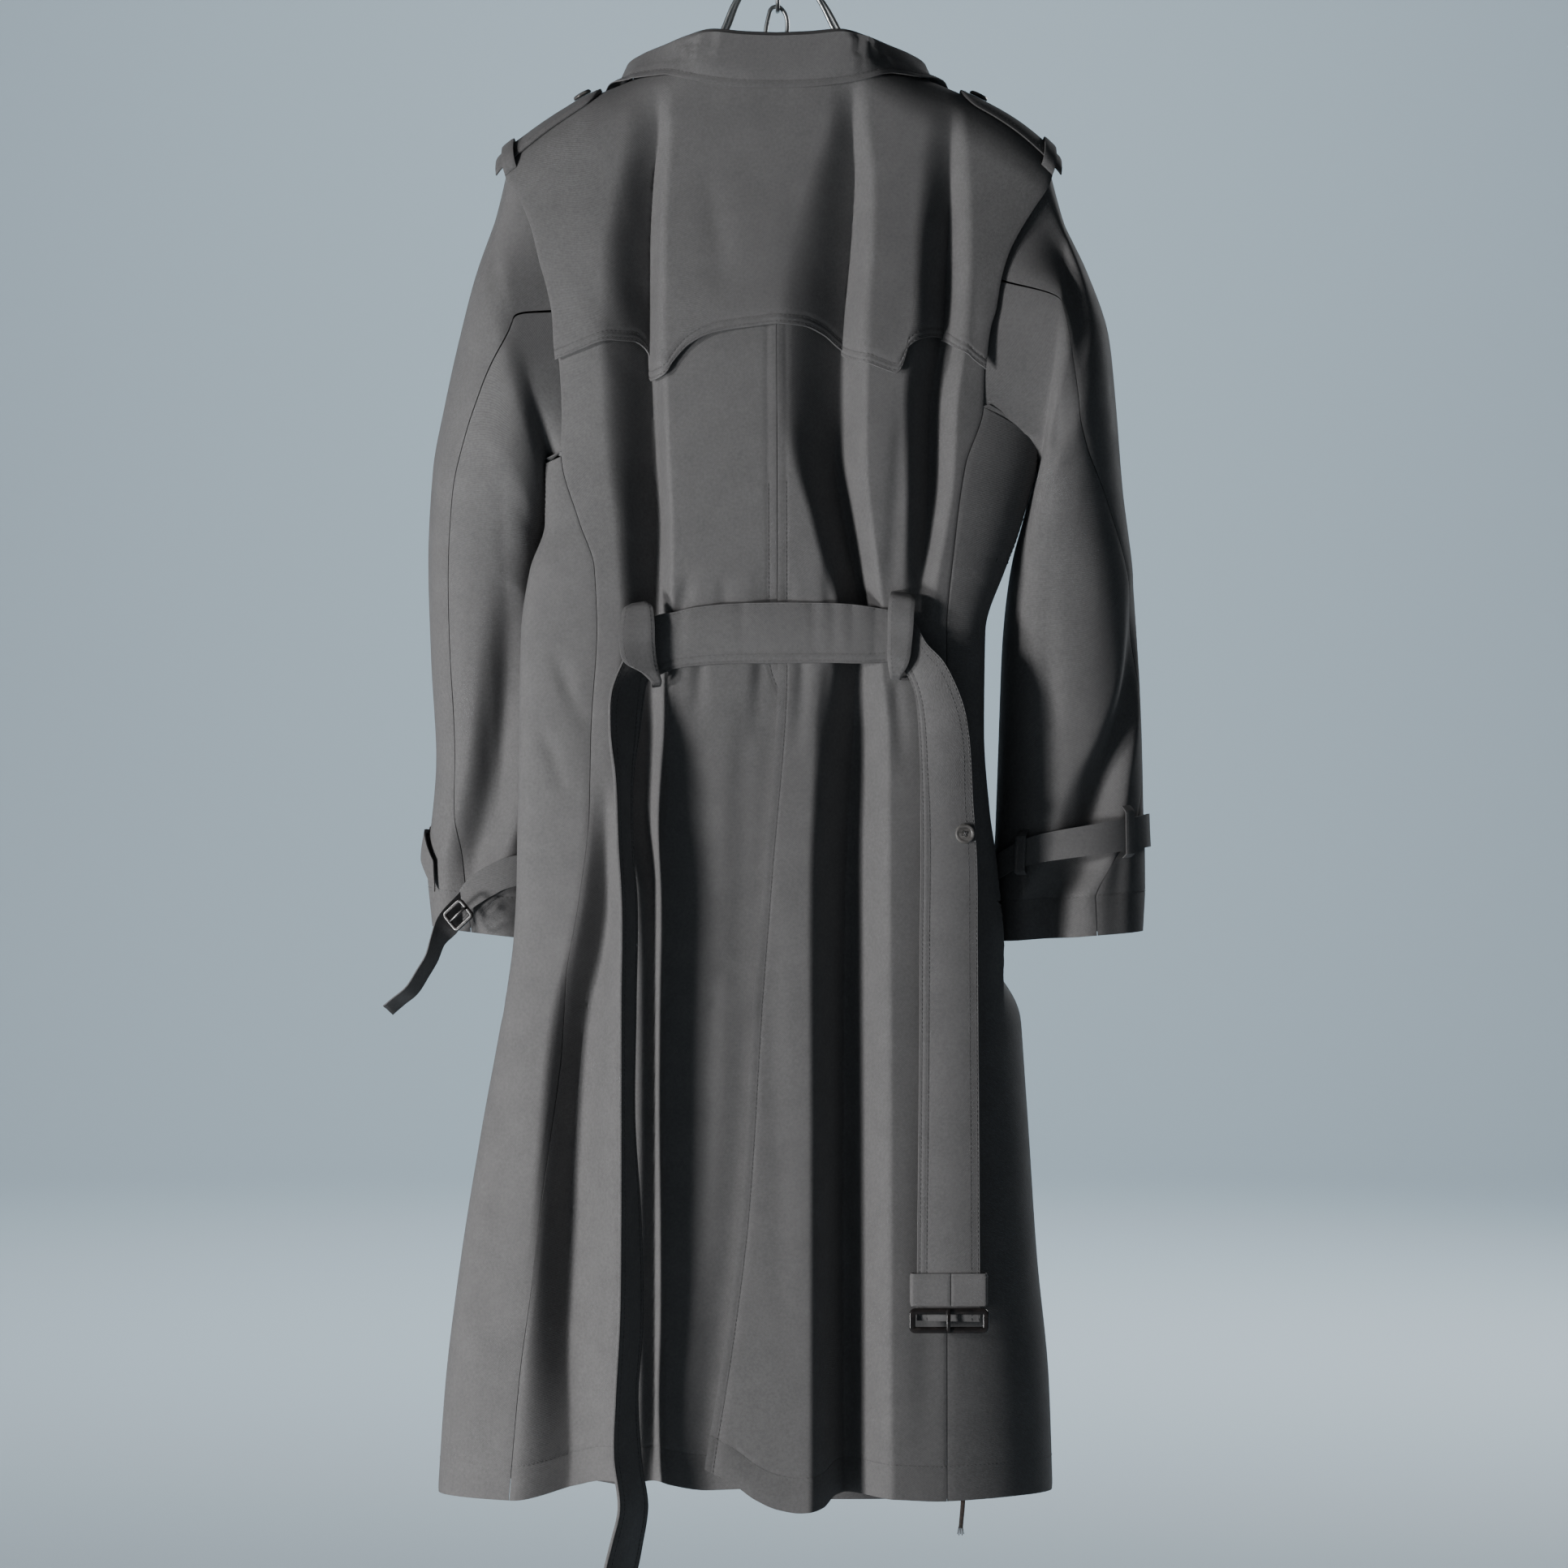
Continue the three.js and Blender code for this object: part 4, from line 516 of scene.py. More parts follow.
# Rows of a panel: the first ones follow the round of the shoulder, the next go down to the armpit
# and the rest to the hem.
ROUND_ROWS = 3
UPPER_ROWS = 7
LOWER_ROWS = 13
BESIDE_ROWS = 6
BESIDE_END = -880
BESIDE_FREE = -912
PANEL_ROWS = ROUND_ROWS + UPPER_ROWS + LOWER_ROWS
ARMPIT_ROW = ROUND_ROWS + UPPER_ROWS


def row_height(row, top, armpit, hem):
    round_end = top - SHOULDER_ROUND
    shoulder = top - SHOULDER_ROUND * (1 - np.cos(row / ROUND_ROWS * math.pi / 2))
    upper = mix(round_end, armpit, (row - ROUND_ROWS) / UPPER_ROWS)
    below = row - ARMPIT_ROW
    beside = mix(armpit, BESIDE_END, below / BESIDE_ROWS)
    between = mix(BESIDE_END, BESIDE_FREE, below - BESIDE_ROWS)
    skirt = mix(BESIDE_FREE, hem, (below - BESIDE_ROWS - 1) / (LOWER_ROWS - BESIDE_ROWS - 1))
    picks = [row <= ROUND_ROWS, below <= 0, below <= BESIDE_ROWS, below <= BESIDE_ROWS + 1]
    return np.select(picks, [shoulder, upper, beside, between], skirt)


def panel_rows(step):
    """Row places of a whole panel, about step millimetres apart."""
    beside = ARMPIT_ROW + BESIDE_ROWS
    stops = [0, ROUND_ROWS, ARMPIT_ROW, beside, beside + 1, PANEL_ROWS]
    rows = []
    for start, end, length in zip(stops, stops[1:], (60, 246, 420, 32, 410)):
        rows.append(np.linspace(start, end, max(2, round(length / step)), endpoint=False))
    rows.append(np.array([PANEL_ROWS]))
    return np.concatenate(rows)


def meet(column_x, line_z, start):
    """The height at which a column that leans with its cut lines meets a top or bottom line."""
    z = start
    for _ in range(12):
        z = line_z(column_x(z))
    return z


def back_top(x):
    return np.minimum(NECK_HEIGHT, shoulder_line(x))


# The two back panels. Below the belt the right one laps over the left along the vent.
VENT_TOP = -545
VENT_LAP = 42
VENT_DROP = 4


def back_column(side, share):
    sign = SIDES[side]

    def column(z):
        outer = back_edge[side](z) - sign * SEAM_SET
        lap = VENT_LAP * smooth_step((VENT_TOP - 95 - z) / 100) if side == "left" else 0
        inner = middle_seam(z) + sign * SEAM_SET + lap
        return mix(outer, inner, share) if side == "left" else mix(inner, outer, share)

    return column


def back_point(side, share, row):
    column = back_column(side, share)
    top = meet(column, back_top, NECK_HEIGHT - 40.0)
    hem = meet(column, back_hem[side], -1310.0)
    armpit = mix(ARMPIT["left"], ARMPIT["right"], clamp01((column(-460.0) + 176) / 343))
    z = row_height(row, top, armpit, hem)
    x = column(z)
    sunk = 0
    if side == "left":
        drop = smooth_step((VENT_TOP - z) / 75)
        sunk = smooth_step((x - middle_seam(z) + 26) / 24) * drop
    point = on_back(x, z, -VENT_DROP * sunk)
    point[..., 1] -= SEAM_SET
    return point


yoke_edge = line([
    [-180, -400], [-158, -392], [-136, -385], [-120, -385], [-110, -391], [-104, -406],
    [-98, -416], [-92, -416], [-84, -404], [-70, -389], [-51, -380], [-18, -375], [0, -373],
    [18, -374], [34, -380], [47, -390], [67, -402], [83, -409], [96, -413], [101, -406],
    [105, -392], [113, -384], [126, -381], [139, -385], [149, -393], [160, -403], [170, -410],
])
YOKE_FLARE_ROW = 7


def yoke_grid(count, rows):
    """Points of the yoke before it is moved out, with the lift of each: the back's, down to the edge."""
    parts = []
    lifts = []
    for side in SIDES:
        share = np.linspace(0, 1, count + 1)[:, None]
        share = share[1:] if side == "right" else share
        low = np.zeros_like(share)
        high = np.full_like(share, float(ARMPIT_ROW))
        for _ in range(20):
            row = (low + high) / 2
            point = back_point(side, share, row)
            above = point[..., 2] > yoke_edge(point[..., 0])
            low = np.where(above, row, low)
            high = np.where(above, high, row)
        row = low * np.linspace(0, 1, rows + 1)[None, :] ** 0.92
        parts.append(back_point(side, share, row))
        flare = smooth_step((row - YOKE_FLARE_ROW + 1) / (low - YOKE_FLARE_ROW + 1))
        lifts.append(LAP_DROP + 0.8 + 2.8 * flare)
    return np.concatenate(parts), np.concatenate(lifts)


# The fronts run from the side seam, which lies on the back, round the side and across the middle.
FRONT_COLUMNS = 18
ARM_COLUMN = 7
UNDER_DROP = 7.5
UNDER_ARM = {"left": [-474, -492, -478], "right": [-463, -490, -439]}


def front_drop(side, x):
    if side == "left":
        return 0 * x
    return UNDER_DROP * smooth_step((FRONT_OVERLAP + 40 - x) / 34)


def under_arm_height(side, t):
    a, b, c = UNDER_ARM[side]
    return (1 - t) ** 2 * a + 2 * t * (1 - t) * b + t * t * c


def side_angle(side, share, z, front_x):
    """The way round under the arm at one height: share 0 is the front armhole, 1 the side seam."""
    front = body_angle(front_x, z, "front")
    seam_x = back_edge[side](z) + SIDES[side] * SEAM_SET
    turn = TAU if side == "left" else 0
    return mix(front, body_angle(seam_x, z, "back") + turn, share)


def front_top(side):
    sign = SIDES[side]

    def height(x):
        out = x * sign
        neck = np.minimum(neck_front(out), shoulder_line(x))
        reach = (NECK_FRONT_X - out) / (NECK_FRONT_X + FRONT_OVERLAP)
        lapel_line = mix(NECK_FRONT_Z, LAPEL_END, reach)
        inside = np.where(out > NECK_FRONT_X, neck, lapel_line)
        return np.where(out > NECK_SIDE_X, shoulder_line(x), inside)

    return height


def front_point(side, column, row):
    sign = SIDES[side]
    edge_x = -sign * FRONT_OVERLAP
    share = np.minimum(column / ARM_COLUMN, 1)

    def column_x(z):
        return mix(edge_x, front_armhole[side](z) - sign * SEAM_SET, share)

    top = meet(column_x, front_top(side), -240.0)
    t = clamp01((column - ARM_COLUMN) / (FRONT_COLUMNS - ARM_COLUMN))
    armpit = under_arm_height(side, t)
    hem_front = meet(column_x, front_hem, -1340.0)
    hem_seam = back_hem[side](back_edge[side](-1320.0))
    hem = mix(hem_front, hem_seam, smooth_step(t * 1.2))
    z = row_height(row, top, armpit, hem)
    x = column_x(z)
    drop = front_drop(side, x) * (1 - t)
    point = body_point(side_angle(side, t, z, x), z, -drop)
    point[..., 1] += np.where(t == 0, SEAM_SET, 0)
    return point


# Each lapel is folded back over its front along the line where the front's cloth ends.
LAPEL_LIFT = 4.7
lapel_edge = Curve(["share", "out", "z"], [
    [0, 112, -272], [0.08, 128, -284], [0.3, 92, -322], [0.55, 36, -364], [0.8, -28, -402],
    [1, -74, -424],
])


def lapel_point(side, s, t):
    sign = SIDES[side]
    along = s * 0.9 + 0.03
    roll_x = mix(NECK_FRONT_X, -FRONT_OVERLAP, along)
    roll_z = mix(NECK_FRONT_Z, LAPEL_END, along) - 2
    edge = lapel_edge(along)
    x = sign * mix(roll_x, edge["out"], t)
    z = mix(roll_z, edge["z"], t)
    return on_front(x, z, LAPEL_LIFT - front_drop(side, x))


def shoulder_point(x, share, lift=0.0):
    """The top of a shoulder by x and a share across it, -1 at the back and 1 at the front."""

    def at(px, q):
        z = shoulder_line(px) - SHOULDER_ROUND * (1 - np.sqrt(np.maximum(0, 1 - q * q)))
        return np.where((q < 0)[..., None], on_back(px, z), on_front(px, z))

    x, share = np.broadcast_arrays(np.asarray(x, float), np.asarray(share, float))
    along = at(x + 1, share) - at(x - 1, share)
    across = at(x, share + 0.02) - at(x, share - 0.02)
    out = unit(np.cross(along, across))
    return at(x, share) + out * np.asarray(lift)[..., None]


# Points of the cloth round the neck with the way out of it there, which the collar keeps off.
def neck_cloth():
    x, q = np.meshgrid(np.arange(-168, 169, 8.0), np.arange(-0.96, 0.97, 0.12))
    top = shoulder_point(x, q)
    out = shoulder_point(x, q, 1.0) - top
    hole = (np.abs(x) < NECK_SIDE_X) & (top[..., 2] > neck_front(np.abs(x)))
    hole = np.where(q < 0, top[..., 2] > NECK_HEIGHT, hole)
    points = [top[~hole]]
    ways = [out[~hole]]
    x, z = np.meshgrid(np.arange(-168, 169, 8.0), np.arange(-170, -330, -8.0))
    low = z < shoulder_line(x) - SHOULDER_ROUND
    for place, towards in ((on_back, -1), (on_front, 1)):
        hole = (towards > 0) & ((np.abs(x) < NECK_FRONT_X) | (z > neck_front(np.abs(x))))
        kept = low & ~hole
        points.append(place(x, z)[kept])
        ways.append(np.tile([0.0, towards, 0.0], (kept.sum(), 1)))
    return np.concatenate(points), np.concatenate(ways)


NECK_POINTS, NECK_WAYS = neck_cloth()


def kept_off(points, clearance):
    flat = points.reshape(-1, 3)
    away = ((flat[:, None, :] - NECK_POINTS[None]) ** 2).sum(axis=2)
    nearest = np.argsort(away, axis=1)[:, :4]
    weight = 1 / (np.take_along_axis(away, nearest, axis=1) + 4)
    weight = weight / weight.sum(axis=1, keepdims=True)
    base = (NECK_POINTS[nearest] * weight[..., None]).sum(axis=1)
    way = unit((NECK_WAYS[nearest] * weight[..., None]).sum(axis=1))
    off = ((flat - base) * way).sum(axis=1)
    push = np.maximum(0, clearance.reshape(-1) - off)
    return (flat + way * push[:, None]).reshape(points.shape)


# Collar. Each curve runs from the middle of the back to the front end of one side.
# The seam crosses the shoulder between two of its shares.
COLLAR_MIDDLE = -1
OVER_FROM = 0.46
OVER_TO = 0.74
neck_seam = line([[0, 0], [0.12, 25], [0.25, 50], [0.36, 71], [OVER_FROM, 91]])
neck_seam_over = Curve(["share", "out", "across"], [
    [OVER_FROM, 91, -0.8], [0.52, 102, -0.66], [0.58, 110, -0.3], [0.64, 114, 0.2], [0.69, 110, 0.66],
    [OVER_TO, 103, 0.94],
])
neck_seam_front = line([[OVER_TO, 103], [0.86, 86], [1, 64]])
collar_roll = Curve(["share", "out", "y", "z"], [
    [0, 0, -49, -133], [0.12, 25, -48.5, -132], [0.25, 52, -46, -129.5], [0.36, 72, -39, -134],
    [0.46, 90, -26, -140], [0.56, 107, -10, -145], [0.64, 119, 6, -151], [0.74, 119, 34, -166],
    [0.86, 97, 58, -194], [1, 70, 63, -226],
])
collar_edge = Curve(["share", "out", "y", "z"], [
    [0, 0, -60, -179], [0.12, 25, -59.5, -178.5], [0.25, 50, -58, -176], [0.36, 72, -54, -172],
    [0.46, 96, -44, -166], [0.56, 119, -32, -166], [0.64, 134, -6, -175], [0.74, 142, 34, -198],
    [0.86, 139, 60, -236], [1, 122, 68, -288],
])


def collar_vector(curve, share, sign):
    r = curve(share)
    return stack(COLLAR_MIDDLE + sign * r["out"], r["y"], r["z"])


def neck_seam_at(share, sign):
    over = neck_seam_over(share)
    across = shoulder_point(sign * over["out"], over["across"])
    back_x = COLLAR_MIDDLE * (1 - share) + sign * neck_seam(share)
    front_x = COLLAR_MIDDLE * (1 - share) + sign * neck_seam_front(share)
    back = on_back(back_x, back_top(back_x))
    front = on_front(front_x, np.minimum(neck_front(np.abs(front_x)), shoulder_line(front_x)))
    seam = np.where((share >= OVER_TO)[..., None], front, across)
    return np.where((share <= OVER_FROM)[..., None], back, seam)


def collar_at(s):
    """The collar at a share of its length: its roll and outer edge, the neck seam below, and at the roll
    the ways out of the leaf and down it."""
    sign = np.where(s < 0.5, -1, 1)
    share = np.abs(s - 0.5) * 2
    roll = collar_vector(collar_roll, share, sign)
    edge = collar_vector(collar_edge, share, sign)
    ahead = collar_vector(collar_roll, share + 0.03, sign)
    behind = collar_vector(collar_roll, share - 0.03, sign)
    along = unit(ahead - behind)
    leaf = edge - roll
    down = unit(leaf - (leaf * along).sum(axis=-1, keepdims=True) * along)
    out = np.cross(down, along) * sign[..., None]
    seam = neck_seam_at(share, sign)
    seam[..., 2] += mix(0.6, 4.5, smooth_step((share - 0.36) / 0.1))
    return {"roll": roll, "edge": edge, "seam": seam, "out": out, "down": down, "share": share}


# Sleeves. The angle round a section is 0 at its outer point and minus a quarter turn at its back.
SLEEVE_FOLD_COLUMNS = ["step", "angle", "depth", "before", "after"]
SLEEVE_FOLDS = {
    "left": [
        Curve(SLEEVE_FOLD_COLUMNS, [
            [5.5, -118, 0, 22, 22], [7, -110, 13, 30, 30], [8, -98, 18, 30, 32],
            [9.3, -80, 17, 28, 30], [10.5, -72, 9, 24, 26], [12, -70, 4, 24, 24],
        ]),
    ],
    "right": [
        Curve(SLEEVE_FOLD_COLUMNS, [
            [6, -14, 0, 20, 20], [7, -26, 9, 24, 24], [8.3, -66, 16, 30, 26],
            [10, -86, 18, 30, 26], [11, -106, 16, 28, 26], [12, -110, 14, 26, 26],
        ]),
        Curve(SLEEVE_FOLD_COLUMNS, [
            [0, -36, 0, 20, 16], [0.8, -44, 11, 26, 20], [1.6, -50, 8, 26, 20],
            [2.6, -56, 0, 26, 20],
        ]),
    ],
}
# Small creases of the sleeves, as lines of step, angle, depth and width in degrees.
SLEEVE_CREASES = {
    "left": [
        [(0.8, -30, 0, 7), (1.2, -42, 3.0, 7), (1.4, -62, 0, 7)],
        [(2.2, -100, 0, 8), (2.9, -80, 2.4, 9), (3.4, -56, 0, 8)],
        [(3.4, -132, 0, 9), (4.2, -104, 3.0, 10), (4.8, -70, 0, 9)],
        [(5.0, -140, 0, 9), (5.4, -110, 2.6, 10), (5.9, -78, 0, 9)],
        [(6.2, -66, 0, 8), (7.4, -54, 2.4, 8), (8.6, -44, 0, 8)],
        [(8.6, -130, 0, 8), (9.4, -118, 2.6, 8), (11.6, -112, 1.4, 8)],
        [(4.0, -30, 0, 9), (5.0, -20, 2.0, 10), (6.4, -12, 0, 9)],
    ],
    "right": [
        [(1.6, -120, 0, 8), (2.4, -104, 3.0, 9), (3.4, -84, 0, 9)],
        [(3.2, -140, 0, 9), (3.9, -116, 3.2, 10), (4.7, -84, 0, 9)],
        [(4.8, -140, 0, 9), (5.4, -108, 2.8, 10), (6.0, -70, 0, 9)],
        [(5.6, -112, 0, 8), (7.0, -108, 2.4, 9), (8.6, -122, 0, 9)],
        [(8.8, -50, 0, 8), (9.6, -52, 2.0, 8), (11.6, -60, 1.2, 8)],
        [(2.6, -30, 0, 9), (3.6, -24, 2.0, 10), (5.0, -20, 0, 9)],
    ],
}


def sleeve_point(side, step, angle, lift=0.0, folded=True):
    step = np.asarray(step, float)
    angle = np.asarray(angle, float)
    r = sleeve_rows[side](np.maximum(step, 1))
    c = power(np.cos(angle), 2 / SLEEVE_SQUARE)
    s = power(np.sin(angle), 2 / SLEEVE_SQUARE)
    half = stack((r["outX"] - r["inX"]) / 2, 0 * r["outX"], (r["outZ"] - r["inZ"]) / 2)
    middle = stack((r["outX"] + r["inX"]) / 2, r["midY"], (r["outZ"] + r["inZ"]) / 2)
    point = middle + half * c[..., None]
    point[..., 1] += r["halfY"] * s
    length = (half * half).sum(axis=-1)
    out = half * (power(c, SLEEVE_SQUARE - 1) / length)[..., None]
    out[..., 1] += power(s, SLEEVE_SQUARE - 1) / r["halfY"]
    out = unit(out)
    turn = np.degrees(np.arctan2(np.sin(angle), np.cos(angle)))
    depth = 0
    if folded:
        for fold_at in SLEEVE_FOLDS[side]:
            f = fold_at(step)
            away = turn - f["angle"]
            depth = depth + f["depth"] * bump(away / np.where(away < 0, f["before"], f["after"]))
        steps_to_degrees = 15.0
        depth = depth + crease_depth(
            [[(a * steps_to_degrees, b, d, w) for a, b, d, w in line] for line in SLEEVE_CREASES[side]],
            step * steps_to_degrees,
            turn,
        )
    return point + out * np.asarray(lift - depth)[..., None]


UNDER_ARM_FROM = 0.8
ARMHOLE_TUCK = 4


def armhole_point(side, angle):
    """The armhole by the same angle, just clear of the back, the front and the cloth under the arm."""
    sign = SIDES[side]
    turn = np.arctan2(np.sin(angle), np.cos(angle)) / math.pi
    span = 2 * (1 - UNDER_ARM_FROM)
    t = np.where(turn > 0, (turn - UNDER_ARM_FROM) / span, 1 - (-turn - UNDER_ARM_FROM) / span)
    t = clamp01(t)
    z = under_arm_height(side, t)
    under = body_point(side_angle(side, t, z, front_armhole[side](z)), z, -1.0)
    under[..., 2] += 5
    down = (1 - np.cos(np.clip(turn / UNDER_ARM_FROM, -1, 1) * math.pi)) / 2
    bottom = np.where(turn < 0, UNDER_ARM[side][2], UNDER_ARM[side][0])
    z = mix(SHOULDER_POINT[side] + 1, bottom, down)
    back = on_back(back_edge[side](z) - sign * ARMHOLE_TUCK, z, -CLOTH - LIE_GAP)
    front = on_front(front_armhole[side](z) - sign * ARMHOLE_TUCK, z, -CLOTH - LIE_GAP)
    over = np.where((turn < 0)[..., None], back, front)
    return np.where((np.abs(turn) >= UNDER_ARM_FROM)[..., None], under, over)


sleeve_seam = {
    "left": line([[0, -74], [1, -80], [3, -68], [5, -58], [8, -52], [10, -64], [12, -72]]),
    "right": line([
        [0, -72], [1, -71], [3, -80], [4, -72], [5, -50], [6, -28], [7, -10], [8, -8], [9, -30],
        [10, -60], [11, -75], [12, -72],
    ]),
}
SEAM_TO_SEAM = 170
SLEEVE_END = 11.8


def sleeve_grid(side, upper, around, along):
    """Points of one sleeve piece, around by along: the cap from the armhole, then down to the cuff."""
    share = np.linspace(0, 1, around + 1)[:, None]
    cap = max(8, along // 10)
    cap_share = np.linspace(0, 1, cap, endpoint=False)[None, :]
    steps = np.linspace(1, SLEEVE_END, along)[None, :]

    def angles(step):
        seam = sleeve_seam[side](step)
        start = seam if upper else seam + SEAM_TO_SEAM
        reach = SEAM_TO_SEAM if upper else 360 - SEAM_TO_SEAM
        return np.radians(mix(start + 0.4, start + reach - 0.4, share))

    hole = armhole_point(side, angles(np.zeros((1, 1))))
    first = sleeve_point(side, np.full((1, 1), 1.0), angles(np.full((1, 1), 1.0)))
    second = sleeve_point(side, np.full((1, 1), 1.6), angles(np.full((1, 1), 1.6)))
    t = cap_share[..., None]
    leave = first - hole
    arrive = (second - first) * 1.2
    crown = hole * (2 * t**3 - 3 * t**2 + 1) + leave * (t**3 - 2 * t**2 + t)
    crown = crown + first * (3 * t**2 - 2 * t**3) + arrive * (t**3 - t**2)
    body = sleeve_point(side, steps, angles(steps))
    return np.concatenate([crown, body], axis=1)


# Meshes
def add_mesh(name, points, faces, material, uv=None):
    """A smooth mesh from points in millimetres, with a cloth map in metres where it is cloth."""
    mesh = bpy.data.meshes.new(name)
    mesh.from_pydata((np.asarray(points) * MM).tolist(), [], [list(face) for face in faces])
    mesh.polygons.foreach_set("use_smooth", np.ones(len(mesh.polygons), bool))
    if uv is not None:
        corner = np.zeros(len(mesh.loops), int)
        mesh.loops.foreach_get("vertex_index", corner)
        layer = mesh.uv_layers.new(name="cloth")
        layer.data.foreach_set("uv", (np.asarray(uv)[corner] * MM).ravel())
    mesh.materials.append(material)
    mesh.update()
    mesh.set_sharp_from_angle(angle=SHARP_ANGLE)
    piece = bpy.data.objects.new(name, mesh)
    bpy.context.scene.collection.objects.link(piece)
    return piece


def running_length(track):
    """Distance along a track of points, from its first."""
    steps = np.linalg.norm(np.diff(track, axis=0), axis=1)
    return np.concatenate([[0], np.cumsum(steps)])


def lengths_along(points, axis):
    """Distance from the first point along one axis of a grid, by its middle line."""
    middle = points.shape[1 - axis] // 2
    return running_length(points[:, middle] if axis == 0 else points[middle])


def lengths_in(points):
    """Distance along each line of a grid's second axis, from its first point."""
    steps = np.linalg.norm(np.diff(points, axis=1), axis=2)
    return np.concatenate([np.zeros((len(points), 1)), np.cumsum(steps, axis=1)], axis=1)


def grid_normals(points, flip):
    across = np.gradient(points, axis=0)
    down = np.gradient(points, axis=1)
    normal = unit(np.cross(down, across))
    return -normal if flip else normal


EDGE_TURN = 0.5


def cloth_wall(name, points, material, thick=CLOTH, flip=False, lift=0.0, keep=None):
    """A closed wall under a grid of points, its outside moved out by lift. Edges turn in a little, so
    they catch the light as a turned edge does. The piece stands for the CAD node of its name."""
    normal = grid_normals(points, flip)
    outer = points + normal * np.asarray(lift, float)[..., None]
    inner = outer - normal * thick
    columns, rows = points.shape[:2]
    kept = np.ones((columns - 1, rows - 1), bool) if keep is None else keep
    middle = (outer + inner) / 2
    edge = np.zeros((columns, rows), bool)
    edge[[0, -1], :] = True
    edge[:, [0, -1]] = True
    outer = np.where(edge[..., None], mix(outer, middle, EDGE_TURN), outer)
    inner = np.where(edge[..., None], mix(inner, middle, EDGE_TURN), inner)
    index = np.arange(columns * rows).reshape(columns, rows)
    a = index[:-1, :-1][kept]
    b = index[1:, :-1][kept]
    c = index[1:, 1:][kept]
    d = index[:-1, 1:][kept]
    front = np.stack([a, b, c, d] if flip else [a, d, c, b], axis=1)
    count = columns * rows
    back = front[:, ::-1] + count
    start = front.ravel()
    end = np.roll(front, -1, axis=1).ravel()
    alone = ~np.isin(start * count + end, end * count + start)
    start = start[alone]
    end = end[alone]
    rim = np.stack([end, start, start + count, end + count], axis=1)
    faces = np.concatenate([front, back, rim])
    used = np.unique(faces)
    place = np.full(2 * count, -1)
    place[used] = np.arange(len(used))
    u = lengths_along(points, 0)[:, None] + 0 * points[..., 0]
    v = lengths_along(points, 1)[None, :] + 0 * points[..., 0]
    uv = np.stack([u, v], axis=-1).reshape(-1, 2)
    all_points = np.concatenate([outer.reshape(-1, 3), inner.reshape(-1, 3)])[used]
    piece = add_mesh(name, all_points, place[faces], material, uv=np.concatenate([uv, uv])[used])
    return finish_piece(piece, name)


GROOVE_HALF = 1.5
GROOVE_DEPTH = 0.45
DEEP_GROOVE = 0.6


def grooved(points, lift, edge, distances, depth=GROOVE_DEPTH):
    """A grid with more lines of points beside one edge, and its lifts sunk where the stitches pull."""
    turned = edge in ("first", "last")
    ended = edge in ("bottom", "last")
    lift = np.asarray(lift, float) + 0 * points[..., 0]
    if turned:
        points, lift = points.transpose(1, 0, 2), lift.T
    if ended:
        points, lift = points[:, ::-1], lift[:, ::-1]
    at = lengths_in(points)
    places = sorted({0.0, *(d + s * GROOVE_HALF for d in distances for s in (-1, 0, 1))})
    places = [places[0], *(p for p in places[1:] if p > 0.3)]
    far = int(np.argmax(at.min(axis=0) > places[-1] + GROOVE_HALF))
    new_points = []
    new_lift = []
    for k in range(len(points)):
        near = [np.interp(places, at[k, :far], points[k, :far, c]) for c in range(3)]
        new_points.append(np.concatenate([np.stack(near, axis=-1), points[k, far:]]))
        sunk = [depth if any(abs(p - d) < 1e-6 for d in distances) else 0 for p in places]
        new_lift.append(np.concatenate([np.interp(places, at[k, :far], lift[k, :far]) - sunk, lift[k, far:]]))
    points, lift = np.array(new_points), np.array(new_lift)
    if ended:
        points, lift = points[:, ::-1], lift[:, ::-1]
    if turned:
        points, lift = points.transpose(1, 0, 2), lift.T
    return points, lift


def cut_size(points, keep):
    """The width, length and area in metres that a grid of cloth was cut to, along its own folds."""
    across = np.linalg.norm(np.diff(points, axis=0), axis=2)
    down = np.linalg.norm(np.diff(points, axis=1), axis=2)
    e1 = points[1:, :-1] - points[:-1, :-1]
    e2 = points[:-1, 1:] - points[:-1, :-1]
    cell = np.linalg.norm(np.cross(e1, e2), axis=2)
    if keep is not None:
        cell = np.where(keep, cell, 0)
    return across.sum(axis=0).max() * MM, down.sum(axis=1).max() * MM, cell.sum() * MM * MM


def declare_sheet(piece, points, keep=None):
    width, length, area = cut_size(points, keep)
    cut_list.append((piece.name, width, length, area))


cut_list = []


def finish_piece(piece, node):
    """The piece stands for that CAD node, which is hidden, and hangs from the root body."""
    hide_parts(node)
    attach(piece, "root")
    return piece


def resample(rows, count):
    """A list of rows read as a smooth curve at count places, even in length."""
    table = np.array(rows, float)
    at = running_length(table)
    slopes = np.gradient(table, at, axis=0)
    place = np.linspace(0, at[-1], count)
    i = np.clip(np.searchsorted(at, place, side="right") - 1, 0, len(at) - 2)
    span = (at[i + 1] - at[i])[:, None]
    t = (place - at[i])[:, None] / span
    out = table[i] * (1 + 2 * t) * (1 - t) ** 2 + table[i + 1] * t * t * (3 - 2 * t)
    return out + slopes[i] * span * t * (1 - t) ** 2 - slopes[i + 1] * span * t * t * (1 - t)


def strap_grid(pairs, count, across):
    """A strap's points between its pairs of edges."""
    table = resample(pairs, count)
    t = np.linspace(0, 1, across + 1)[None, :, None]
    return mix(table[:, None, :3], table[:, None, 3:], t)


STRAP_EDGE = 0.12


def round_edges(points, amount):
    """How far each point of a strap stands out: its long edges are a little lower than its middle."""
    share = np.linspace(0, 1, points.shape[1])
    near = np.minimum(share, 1 - share) / STRAP_EDGE
    return -amount * (1 - smooth_step(near))[None, :] + 0 * points[..., 0]


